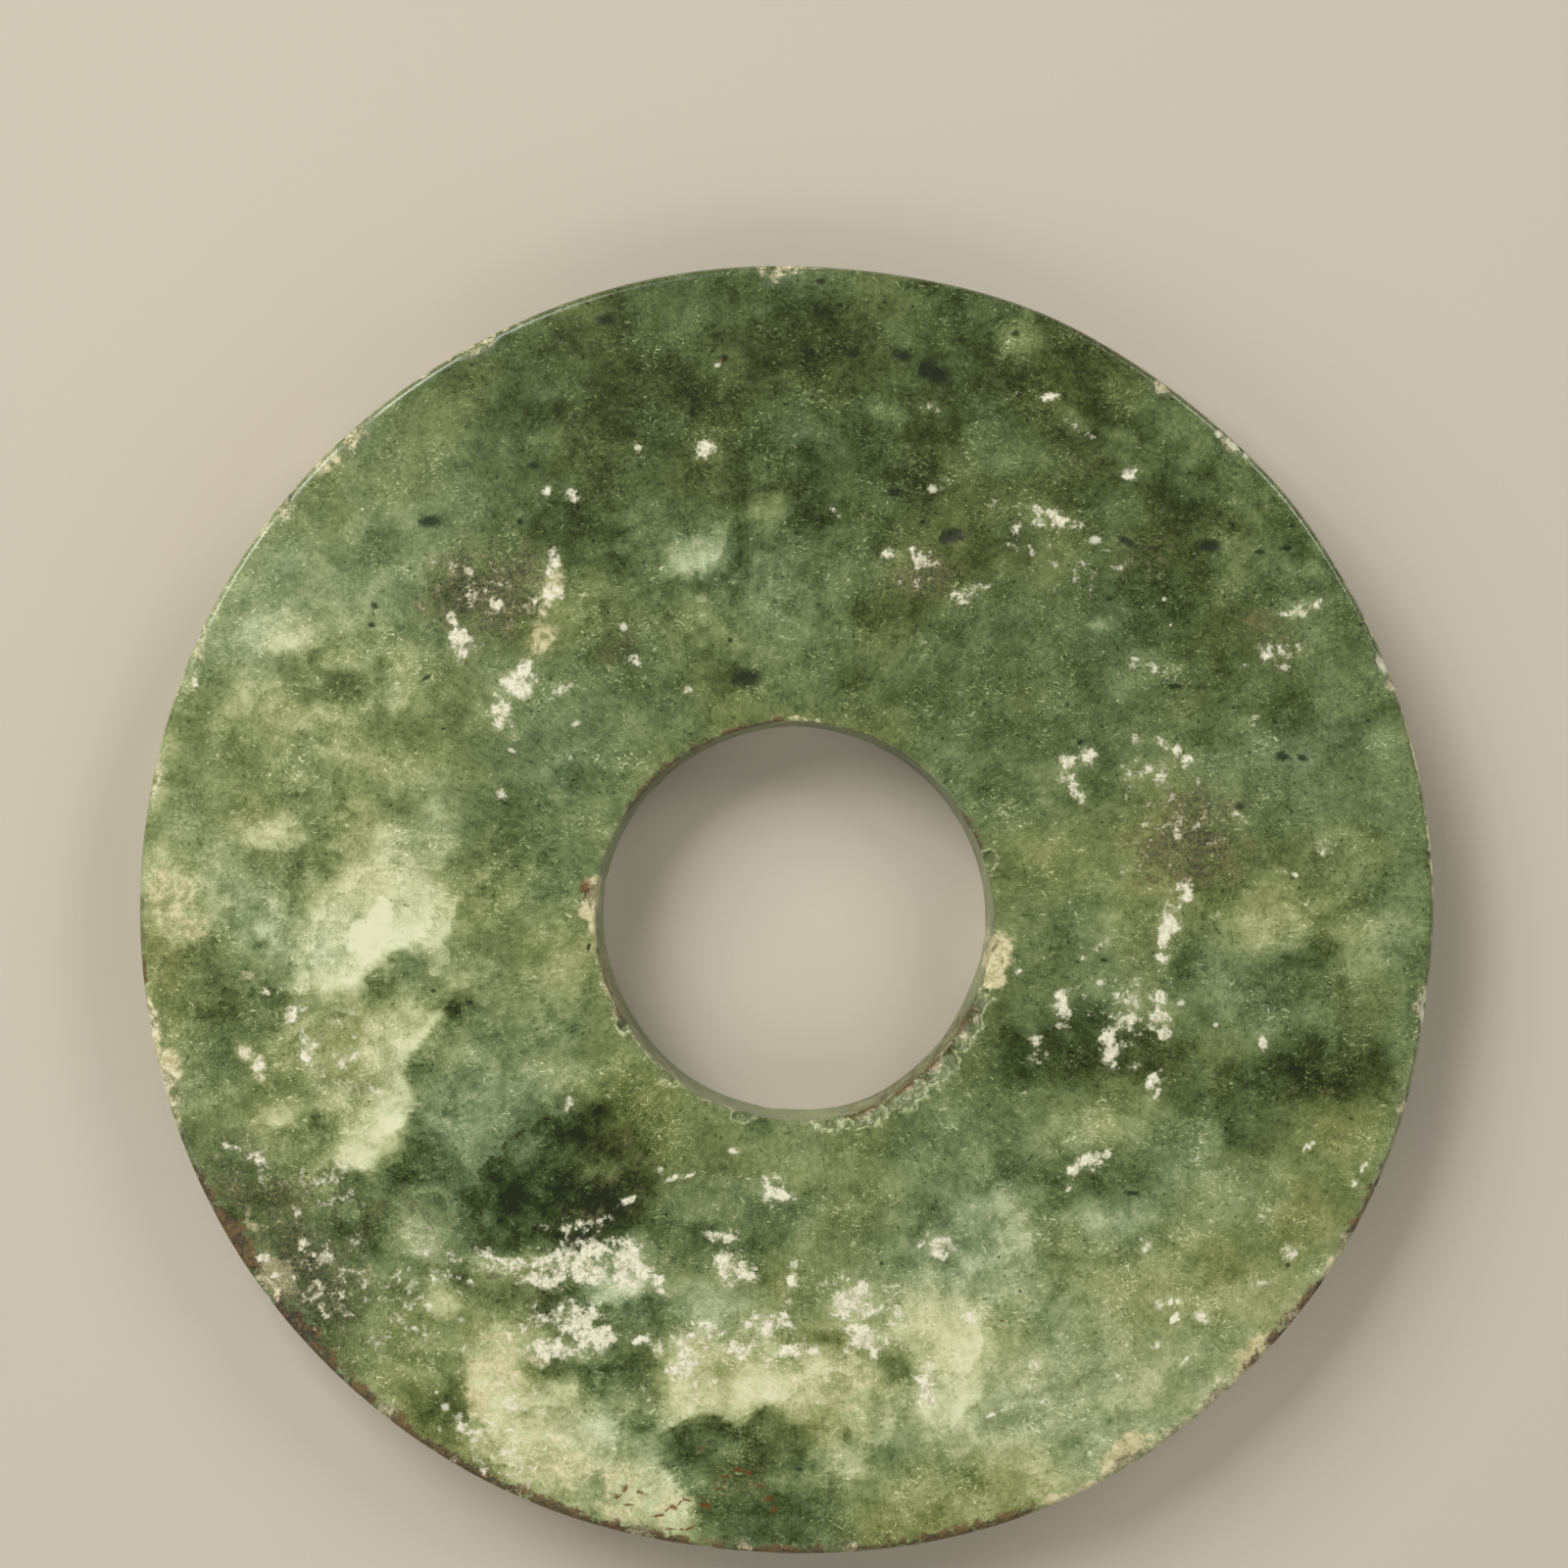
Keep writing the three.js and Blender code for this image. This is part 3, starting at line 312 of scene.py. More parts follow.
# White lime crust, in patches and flecks.
# From about 0.8 a patch is whole, and below about 0.5 it is only scattered grains.
CRUSTS = [
    # upper left and the streak by the bore
    (-40.5, 33.3, 1.8, 1.1, 1, 85), (-41.5, 36, 0.6, 0.5, 0.9), (-36, 38.3, 0.7, 0.6, 0.9),
    (-38.3, 33, 1.6, 1.3, 0.4), (-33.4, 28, 2.2, 1.5, 1, 65), (-32.2, 30, 1.3, 0.8, 0.8, 60),
    (-35.1, 24.2, 1.9, 1.1, 1, 75), (-35, 22.3, 0.8, 0.6, 0.6, 60), (-73, 33.5, 1, 0.6, 0.6),
    (-73, 28.5, 1.4, 0.4, 0.8, 65), (-27.5, 27.3, 1.6, 0.6, 0.55, 20), (-29, 26.3, 0.9, 0.4, 0.5, 20),
    (-28, 18.5, 1.2, 0.5, 0.45, 30), (-35, 14.2, 1, 0.5, 0.55, 90), (-27.5, 14, 1.5, 0.5, 0.4),
    (-12.5, 27, 0.6, 0.5, 0.6), (-18.5, 31, 1, 0.8, 0.55), (-34, 22, 1.6, 0.7, 0.4, 20),
    # left
    (-60.5, -13.5, 2, 1.4, 0.6, 90), (-59, -17.5, 1.5, 1.1, 0.7, 80), (-62, -9.7, 0.7, 0.4, 0.8),
    (-64.5, -10.2, 0.6, 0.4, 0.7), (-51, -22.5, 0.8, 0.6, 0.7), (-52, -21.5, 0.6, 0.5, 0.6),
    (-68, -29.7, 1.5, 0.6, 0.8), (-64.5, -43, 0.9, 0.6, 0.7), (-62.5, -45, 0.8, 0.6, 0.65),
    (-61.5, -46.5, 0.7, 0.5, 0.65), (-48, -45.5, 3.4, 0.6, 0.6, -12), (-43, -45.4, 1.4, 0.5, 0.6),
    (-44, -43, 7, 4, 0.36), (-47, -50, 8, 6, 0.36), (-56, -34, 6, 4, 0.33), (-58, -44, 7, 8, 0.34, 20),
    (-36, -66, 8, 6, 0.36), (-66, -19, 4.4, 0.8, 0.5, -57), (-79, -14.5, 3, 0.6, 0.7, 80),
    (-77.4, -20.8, 2.4, 1.1, 0.9, 74),
    # the band below the dark blue cloud
    (-33.5, -43.7, 2.1, 1.6, 0.95), (-31, -45.6, 3, 1, 0.75), (-28.5, -43.5, 4.2, 1.8, 0.9),
    (-24, -43.8, 3.8, 2.2, 0.9), (-20, -43, 3.2, 2.2, 0.9, 10), (-19, -45.6, 3.2, 0.9, 0.8),
    (-16, -46.2, 2.2, 0.8, 0.75, -15), (-28.5, -46, 1.6, 0.9, 0.95), (-37.3, -43.2, 2.2, 1.6, 0.5),
    (-27, -39.2, 4, 0.9, 0.5, -5), (-25.5, -41, 2.4, 1, 0.55), (-22, -38.5, 1.5, 0.8, 0.55),
    (-38.7, -46, 0.6, 0.5, 0.8), (-26.6, -50.4, 2.6, 2, 0.95), (-24, -53, 2.5, 1.8, 0.9),
    (-28.5, -54.3, 4.2, 1, 0.75), (-31.2, -50.7, 1.4, 0.9, 0.85), (-30.7, -53.8, 1.4, 0.9, 0.85),
    (-21.7, -52.7, 1.5, 0.8, 0.8), (-27, -47.8, 3, 0.8, 0.35), (-33.3, -61.2, 1.4, 1.3, 0.75),
    (-40, -64, 0.9, 0.7, 0.9), (-37.4, -65.5, 0.8, 0.6, 0.9), (-41.3, -57, 0.6, 0.4, 0.8),
    # the middle of the lower half
    (-13, -53, 3.2, 1.3, 0.62), (-9.5, -52.5, 3.2, 1.6, 0.62), (-6, -54.2, 3.2, 0.8, 0.65),
    (-3, -52.8, 2.2, 0.8, 0.55), (-17.5, -53.5, 1.8, 0.8, 0.55), (-12.5, -56, 1.9, 1.4, 0.95, 25),
    (-1.5, -50.9, 3.2, 1, 0.8), (1.2, -54.4, 2.9, 0.7, 0.9), (4, -56, 1, 0.7, 0.6, -50),
    (1, -48.7, 1.8, 0.8, 0.6), (0.7, -46, 0.9, 0.8, 0.75), (0.8, -43.8, 1.2, 0.5, 0.55, 90),
    (-6.3, -44.2, 2.3, 1.8, 1), (-8, -40.2, 2.3, 0.6, 0.85), (-10, -41.6, 0.8, 0.5, 0.55),
    (-9, -36.7, 0.8, 0.5, 0.65), (-9.8, -38.6, 0.7, 0.6, 0.5), (-1.2, -35.6, 1.7, 1, 0.8),
    (-2, -33.7, 1.8, 0.9, 0.5), (-8, -33.4, 3, 0.8, 0.4, 5), (-13.2, -33, 1.5, 0.4, 0.75, 20),
    (-15.7, -32.5, 0.8, 0.4, 0.7, -20), (-6.5, -29.8, 0.9, 0.5, 0.65), (-14.5, -35.3, 0.6, 0.4, 0.6),
    (-19.7, -36, 1.2, 0.5, 0.9, 20), (-26.8, -24, 1.2, 0.5, 0.7, 70), (18.7, -41.2, 1.6, 1.5, 1),
    (16.5, -41.3, 0.7, 0.4, 0.7), (8.5, -48, 2.8, 2.2, 1), (6, -49.3, 1.7, 0.7, 0.8),
    (10.3, -49.5, 1.2, 0.8, 0.85), (9.8, -53, 2.5, 1.6, 1, -15), (8.2, -51.4, 0.9, 0.6, 0.8),
    (4.2, -46.5, 0.7, 0.4, 0.7), (4, -48.8, 0.6, 0.4, 0.85), (13.8, -50, 0.7, 0.3, 0.75),
    (15, -51.5, 0.7, 0.5, 0.7, -30), (17.2, -59.7, 2.5, 1.1, 0.9, 90), (17.6, -57, 0.9, 0.6, 0.65, 60),
    (-1, -70.7, 0.9, 0.6, 0.6),
    # bottom right
    (31.5, -59, 1.6, 0.8, 0.75, 30), (31.5, -60.8, 1.7, 0.5, 0.6), (31, -56, 1, 0.8, 0.6),
    (41, -58, 1, 0.4, 0.85, 85), (34, -52.8, 0.6, 0.4, 0.8), (22.7, -50.2, 1, 0.7, 0.6),
    (27.7, -61.3, 1.7, 0.5, 0.6, 10), (25.5, -62.5, 0.9, 0.4, 0.55, 20), (22.3, -43.5, 1, 0.5, 0.5, 90),
    (38, -30.9, 2.2, 1, 0.95, 25), (35.5, -32.3, 1.1, 0.5, 0.85, 20), (39.6, -29.8, 0.7, 0.5, 0.8, 60),
    (35, -34.6, 0.5, 0.5, 0.6), (50.7, -31.2, 0.9, 0.6, 0.75, -40), (64.2, -29.5, 0.6, 0.4, 0.85, 30),
    (70, -33.5, 1.1, 0.8, 0.75, 90), (71.1, -32.2, 0.7, 0.4, 0.6, 50), (59, -38, 0.8, 0.4, 0.6, -20),
    (62.2, -42, 1, 0.9, 0.95), (51.4, -49.9, 1.1, 0.9, 0.8), (51.5, -48.2, 1.2, 0.4, 0.6),
    (46, -48.7, 0.6, 0.5, 0.85), (48, -48.4, 0.8, 0.4, 0.7, -20), (48, -50.4, 0.5, 0.4, 0.85),
    (45.6, -54, 0.5, 0.4, 0.85), (49, -56, 0.5, 0.4, 0.8), (50.7, -53.4, 0.5, 0.4, 0.75),
    (44.2, -41.5, 1.2, 0.8, 0.4), (51.3, -44, 0.6, 0.5, 0.55), (58, -46.5, 1.2, 0.6, 0.45, 20),
    # right
    (34.3, -12, 1.9, 1.2, 0.85, 80), (34.7, -15.6, 1.4, 0.6, 0.55, 90), (42.2, -11, 1.5, 1.2, 0.9),
    (41, -14.3, 1.8, 0.9, 1, 30), (39.7, -17, 2, 0.8, 0.95, 95), (46, -11, 1.3, 1.1, 0.55),
    (46.3, -13.8, 1.7, 1.5, 0.9), (46.4, -15.4, 0.9, 0.6, 0.8), (31, -17.8, 1.7, 1.2, 0.6, 30),
    (30.4, -16, 0.9, 0.6, 0.75), (42.2, -17, 2.2, 1, 0.5), (43, -19, 1.3, 0.6, 0.5),
    (36.3, -5.6, 1, 0.5, 0.75), (38.7, -4.5, 1.5, 0.9, 0.5, 30), (41, -6.5, 1.5, 1.2, 0.4),
    (50.7, -6.8, 0.9, 0.6, 0.55), (58.7, -16.3, 0.8, 0.8, 0.85), (28.5, -7.5, 0.7, 0.3, 0.65, -40),
    (45.2, -22, 2.3, 0.9, 0.75, 85), (43, -21.8, 1.3, 0.7, 0.45), (44.8, -24.2, 1, 0.5, 0.6, 40),
    (35, 18, 1.2, 1, 1), (34.5, 16.6, 1, 1, 1), (35.3, 15.2, 1, 0.8, 1), (36.1, 14.1, 1, 0.7, 1, -40),
    (37.3, 18.8, 1.1, 0.8, 0.8, 90), (49.4, 18.3, 1.1, 0.6, 1, 90), (51.3, 18.5, 0.9, 0.8, 0.45),
    (47, 20.3, 2.8, 0.8, 0.55, -20), (43.5, 21.5, 1.2, 0.7, 0.5, -50), (45, 16.6, 4.4, 2.4, 0.4),
    (66.4, 8.2, 1.2, 1, 0.85, 60), (61.2, 4.9, 0.6, 0.4, 0.9), (62.5, 4.7, 0.4, 0.3, 0.8),
    (53.1, -0.8, 0.8, 0.5, 0.65), (56.6, 11.3, 1, 0.35, 0.85, -40), (43.5, 6, 0.9, 0.6, 0.7, 30),
    (42.3, 4.7, 1.1, 0.4, 0.7), (49, 2.8, 1.2, 1, 0.75), (48.7, 1.5, 1, 0.8, 0.75),
    (48, 0.2, 1.2, 0.8, 0.95), (47.3, -1.6, 1.7, 0.9, 0.95, 80), (46.6, -4, 1.3, 0.9, 0.9, 70),
    (46.5, -6, 0.9, 0.7, 0.75), (64, 37.3, 2.4, 0.8, 0.9, 15), (62.3, 36.6, 0.8, 0.6, 0.9),
    (68.5, 38.6, 0.7, 0.3, 0.65, 10), (57, 23.3, 1.3, 0.8, 0.5, 30), (52, 10, 4, 3, 0.3),
    # top
    (32.5, 48.3, 3.8, 1.5, 0.6, -20), (28, 47.2, 2.2, 0.6, 0.55, 35), (26, 46.8, 1.2, 0.4, 0.6),
    (29.5, 44.6, 2, 0.4, 0.5, 50), (25.5, 49.8, 1.2, 0.5, 0.5, 70), (17.8, 61.9, 1.6, 0.7, 0.6),
    (32.2, 63.2, 1.3, 0.6, 0.65), (27.2, 63.2, 1.5, 0.6, 0.45, 20), (6, 49.3, 1, 0.5, 0.5, -30),
    (16.4, 33.5, 1, 0.5, 0.7, 80), (13, 43.6, 1.5, 0.8, 0.62), (16.2, 44, 2.2, 0.8, 0.55),
    (22.8, 39.3, 2.6, 0.6, 0.85, 15), (21.3, 38, 1.1, 0.4, 0.55), (26.5, 41.3, 0.7, 0.4, 0.65),
    (16, 41.5, 4, 2.4, 0.35), (38.8, 44.2, 1.3, 0.4, 0.4), (31.8, 55.5, 1.6, 0.7, 0.4, -40),
    (-9.5, 56.5, 1.7, 0.9, 0.95), (-26.7, 51.5, 1, 0.8, 0.65), (-29.7, 51.8, 1, 0.5, 0.65, 90),
    (-29.4, 38.6, 1.8, 1.2, 0.72, 30), (-29, 42, 2.6, 0.8, 0.62, 80), (-20.8, 45, 0.9, 0.4, 0.5),
    (-53, 36, 1.4, 0.4, 0.45, 50), (35.5, 60.3, 4, 0.7, 0.4, -38), (42, 54, 2.6, 1.2, 0.4),
    (0.5, 64.5, 5, 2, 0.25), (60, 32, 8, 2.6, 0.3), (20, 53, 3, 2, 0.25), (44, 29, 4, 2.6, 0.3),
    # scattered grains
    (-47, -50, 9, 6, 0.34, -20), (-30, -52, 10, 5, 0.33), (-8, -56, 12, 6, 0.32), (12, -50, 8, 6, 0.27),
    (-33, -64, 8, 6, 0.32, -40), (-58, -46, 6, 7, 0.36, 30), (-38, 40, 7, 7, 0.3),
    (34, 44, 10, 6, 0.28, -20), (48, 12, 7, 9, 0.29), (42, -12, 8, 7, 0.27), (-54, -18, 6, 8, 0.26),
    (-66, -31, 5, 4, 0.32),
]

# Cream stain that has gone into the stone.
CREAM_STAINS = [
    (-76.9, -20.4, 2.4, 1.3, 2, 74), (-62.6, -45.4, 3, 1.7, 1.1, -48), (-66.2, -38.6, 1.6, 0.8, 0.8, -60),
    (-76.5, 2, 3, 4.6, 0.62), (-74, -2, 3, 3, 0.58), (-67, -8, 2, 1, 0.4), (-66, -19, 4.6, 1, 0.6, -57),
    (-36, -57, 5.4, 4, 0.6, 90), (-35, -53, 4, 1.6, 0.6), (-31.5, -55.5, 2.6, 1, 0.6),
    (-37.8, -61, 2.5, 1.5, 0.8, -70), (-31, -66, 4.2, 4, 0.55), (-27, -69, 7, 2.6, 0.6),
    (-20, -70.6, 6, 2.6, 0.6), (-16, -73.4, 4.4, 3, 0.6), (-22, -74.6, 6, 1.4, 0.6, -12),
    (-9, -58.6, 6.4, 3, 0.45), (-1.6, -59, 6, 3, 0.45), (9, -58.5, 4.2, 2.2, 0.45, -15),
    (9, -61.5, 2.6, 1, 0.5), (-8, -54.6, 8, 2, 0.5), (57.8, -54.6, 2.4, 1.2, 1.5, 50),
    (63.4, -49.6, 2, 1, 0.9, 55), (-30.6, 33.6, 2.6, 1.8, 0.7, -60), (-29.2, 39.6, 3, 1.3, 0.9, 70),
    (-20, -43.6, 6, 2.4, 0.5), (-29, -44, 6, 2, 0.5), (69, -41.5, 1, 0.7, 0.7, 60),
    (62.6, -50.7, 0.7, 0.6, 0.8), (64, -49.3, 0.9, 0.5, 0.8, 50), (42, -67, 3.2, 1.5, 1.4, 35),
    (39.5, -69, 1.4, 0.5, 0.8, 30), (37.7, -71.7, 0.9, 0.5, 0.85, 30), (29.8, -74.8, 1, 0.5, 0.85, 10),
    (24.8, -73.3, 1.1, 0.8, 0.55), (25.8, 6.3, 1, 0.7, 0.7, -40), (49, 3, 3, 2, 0.4),
    (-50, -45.4, 4, 1.4, 0.45, -10), (-44, -48, 3, 2, 0.3), (21, -54, 4, 5, 0.25),
    (17.2, -59.5, 3, 1.4, 0.45, 90), (42, -67.4, 3.6, 1.6, 0.5, 38), (-63, -44.6, 3, 1.4, 0.5, -50),
    (-53.5, 58, 1.2, 0.8, 0.8, 40), (-56.6, 55, 2.2, 0.8, 0.7, 45), (-72.6, 32, 1.6, 1, 0.6, 70),
]

# Brown and grey earth, rubbed in.
EARTH = [
    (-38, 38.5, 7, 6, 0.8), (-33, 41, 4, 4, 0.7), (-20, 33.5, 1.6, 1, 0.75), (-22, 31.6, 2, 1, 0.5),
    (16.6, 42, 4.6, 3, 0.85), (21, 45.8, 2.4, 1, 0.55), (49.5, 7.5, 6.4, 4, 1),
    (50.5, 12.4, 5, 3.4, 0.85), (46.5, 3.7, 2, 0.5, 1, -8), (48.7, 4.1, 0.9, 0.6, 1),
    (55.3, 8.8, 1, 0.5, 0.85, -30), (50.2, 0.3, 0.9, 0.5, 0.9), (-20, -30, 4.4, 4, 0.42),
    (-20, -34.4, 3, 2.4, 0.4), (-25, -38.4, 6, 2.6, 0.4), (-36.5, -45.3, 1.8, 0.5, 0.9),
    (-55, -39.6, 4.2, 2.6, 0.42), (57.4, 35.8, 1.4, 0.6, 0.9, -30), (45, 16.5, 4.4, 2.6, 0.35),
    (-62.3, 15.5, 1.3, 0.4, 0.9, 80), (62.3, -41, 0.8, 0.4, 0.85), (-73, -7, 3.6, 2, 0.3),
    (-52.6, -22, 2, 1.6, 0.4), (8, 71.8, 2.2, 1, 0.4), (-61.6, 50.8, 1.6, 0.7, 0.9, 50),
    (42, -68.3, 2.6, 0.7, 0.6, 38), (60.5, -53, 1.6, 1.1, 0.9, 45), (47, -20, 4, 2, 0.3),
    (66, -22, 6, 2, 0.3), (-5, -70.5, 4, 2, 0.45), (36, 56, 4, 3, 0.4), (60, 34, 5, 4, 0.45),
    (44, 43, 5, 4, 0.4), (3.5, -62.8, 2, 1, 0.35), (-59, -45, 6, 8, 0.85, 20), (-48, -38, 9, 4, 0.4),
    (-68, -34, 3, 5, 0.6), (-52, -51, 5, 4, 0.35), (-62, -36, 4, 4, 0.6), (-67, -30, 4, 4, 0.5),
    (-30, -47.6, 4, 1.2, 0.4), (63.5, 34, 2.4, 0.8, 0.4, -30), (60, 32, 5, 1.6, 0.35),
    (-44, -43, 6, 2, 0.45),
]

# Stains that follow the rim or the bore, and a painted highlight along the right rim: from and to in
# degrees, how far in, amount.
RIM_EARTH = [
    (203, 208, 0.9, 1.1), (207, 214, 1.8, 1.3), (214, 218, 0.7, 1), (217, 223, 2, 1.3),
    (223, 230, 1.1, 1.1), (230, 246, 1.3, 1), (246, 262, 1.2, 1), (262, 278, 0.8, 0.75),
    (278, 293, 1, 0.85), (236, 239, 1.5, 0.9), (300, 303, 0.8, 0.6), (315, 317, 1.2, 0.9),
    (317, 326, 1, 0.85), (329.5, 332, 0.9, 1), (333, 338, 1, 0.75), (341, 344, 0.6, 0.7),
    (35, 68, 0.4, 0.55), (183, 187, 0.7, 0.9), (145, 160, 0.5, 0.5),
]
# The rim cream bands from 16 to 56 and from 0 to 30 degrees are no stain: they paint a highlight along the
# rounded right rim.
RIM_CREAM_AND_HIGHLIGHT = [
    (112, 166, 0.6, 0.7), (187, 200, 1.2, 0.8), (16, 56, 0.35, 0.6), (350, 353, 0.8, 0.9),
    (341, 345, 0.7, 0.6), (250, 275, 0.8, 0.5), (292, 330, 1, 0.75), (85, 93, 0.8, 0.7),
    (0, 30, 0.3, 0.8),
]
BORE_EARTH = [
    (92, 150, 0.4, 0.6), (18, 34, 0.6, 0.7), (355, 362, 0.4, 0.8), (280, 338, 1, 0.75),
    (186, 212, 0.4, 0.6),
]
BORE_CREAM = [
    (168, 180, 1.3, 1.6), (178, 188, 0.8, 1), (186, 214, 0.6, 0.8), (214, 262, 0.4, 0.5),
    (342, 356, 2.1, 1.6), (12, 32, 0.8, 0.5), (80, 112, 0.5, 0.5),
]

# Small marks with their own sharp shape, by kind: middle, half length, half width and turn.
INK, RUST, LIME = 0.0, 0.5, 1.0
MARKS = {
    INK: [
        (17.6, 66.6, 2.6, 1, -28), (14.3, 68.5, 1, 0.5, -20), (8.3, 68.8, 0.6, 0.5),
        (13.4, 51.6, 0.8, 0.45), (20.3, 46.3, 1.6, 0.8, 10), (42, 45.5, 1.2, 0.4, -30),
        (28.2, 71.2, 0.4, 0.35), (4.2, 77.7, 0.5, 0.3), (6.5, 74.7, 0.5, 0.25), (16.8, 48, 0.3, 0.25),
        (52.3, 45, 1.2, 0.7), (61.2, 19, 0.65, 0.55), (63.6, 18.8, 0.6, 0.35, -10),
        (58.5, 44.3, 0.45, 0.3), (61.7, 44.7, 0.7, 0.25, 10), (62.4, 47.4, 0.25, 0.2),
        (71.8, 23.4, 0.25, 0.2), (68.4, 20.2, 0.2, 0.18), (36.2, 20.7, 0.4, 0.25, 30),
        (48, 27.6, 0.7, 0.3), (56, 12.8, 0.5, 0.45), (39.2, -6.2, 0.4, 0.22), (-22.3, 72.9, 0.9, 0.6),
        (-7.8, 68.2, 0.5, 0.4), (-11.5, 63, 0.45, 0.35), (-11.7, 61.3, 0.35, 0.3),
        (-31.3, 54.9, 0.6, 0.3), (-26.3, 61, 0.25, 0.22), (-33, 48, 0.35, 0.3), (-44, 48, 1.3, 0.6),
        (-51, 37.6, 0.4, 0.4), (-51.3, 35.2, 0.35, 0.3), (-44.6, 28.7, 0.6, 0.22, 30),
        (-5, 28.6, 1.5, 0.9), (-7, 33.3, 0.3, 0.25), (-39.2, -11.4, 0.35, 0.3), (28.8, -47.1, 0.16, 0.15),
        (26.2, -42.9, 0.14, 0.13), (1.5, -69.1, 0.32, 0.2, -20), (61.9, -43.9, 0.25, 0.2),
        (42.6, -35, 0.7, 0.25), (-24.5, -4.6, 0.4, 0.2, 80), (-43.7, -10, 0.25, 0.2),
        (39.8, 38.4, 0.35, 0.2), (71, 35.3, 0.3, 0.18), (70.3, -39.7, 0.6, 0.4, 60),
        (65.9, -46.6, 1, 0.45, 65), (61, -53, 0.5, 0.3, 45), (73.2, -33.6, 0.6, 0.3, 60),
        (11.7, -43.7, 0.2, 0.18), (-42.5, 22.4, 0.2, 0.15),
    ],
    RUST: [
        (-20, -71.6, 0.5, 0.4, 40), (-20.9, -72.6, 0.5, 0.25, -40), (-18.4, -71.9, 0.9, 0.2, -20),
        (-19.8, -73.5, 0.9, 0.16, -5), (-14, -73.8, 0.7, 0.25, -18), (-12.4, -72.9, 0.7, 0.16, -15),
        (-15.6, -74.8, 0.9, 0.18, 10), (-14.4, -76.5, 0.6, 0.12), (-12, -76.4, 0.6, 0.14, 20),
        (-10, -73.6, 0.55, 0.28), (-8.3, -71.5, 0.6, 0.12, 10), (-6, -69.2, 0.9, 0.2, 5),
        (-7.4, -70.1, 0.5, 0.16), (-4.7, -69.6, 0.4, 0.2, -40), (-3.3, -71.2, 0.6, 0.14, -20),
        (-2.3, -72.7, 0.4, 0.3), (-1.6, -74.1, 0.4, 0.2, 30), (-21.6, -76.3, 0.7, 0.14),
        (26.6, -50.8, 0.22, 0.1), (-10.4, -66.5, 0.25, 0.12, 30), (-24.9, 2.8, 0.8, 0.5, 75),
    ],
    LIME: [
        (38.1, 45.7, 0.6, 0.42), (46.6, 38.4, 0.22, 0.2), (47.4, 35.2, 0.12, 0.12),
        (43, 31, 0.45, 0.2, -15), (18, 52, 0.45, 0.4), (38.7, -9, 0.35, 0.3), (53, -14.2, 0.26, 0.22),
        (48.7, -11.5, 0.35, 0.3), (-18.4, 57.1, 0.35, 0.3), (-26.1, 23, 0.45, 0.25, 20),
        (-34, 19.7, 0.4, 0.22, -20), (-20.2, 35, 0.4, 0.4), (-42.2, -61.4, 0.4, 0.4),
        (-38.7, -65.5, 0.35, 0.32), (-43.3, -59.6, 0.18, 0.18), (65, -28.8, 0.25, 0.25),
        (55.3, 57.3, 0.7, 0.4, -40), (53.4, 58.8, 0.4, 0.35), (56.6, 56.2, 0.4, 0.2, -40),
        (73.6, 30.4, 1.1, 0.4, -65), (78.8, -12.4, 1.7, 0.35, 86), (-8.6, 67.3, 0.35, 0.2),
        (64.1, 0.7, 0.15, 0.15), (-52.5, 49.5, 0.15, 0.15),
    ],
}


def node(tree, kind, inputs=None, **settings):
    """Adds one node with its settings, and sets or links its inputs by name or number."""
    made = tree.nodes.new(kind)
    for name, value in settings.items():
        setattr(made, name, value)
    for name, value in (inputs or {}).items():
        if isinstance(value, bpy.types.NodeSocket):
            tree.links.new(value, made.inputs[name])
        else:
            made.inputs[name].default_value = value
    return made.outputs


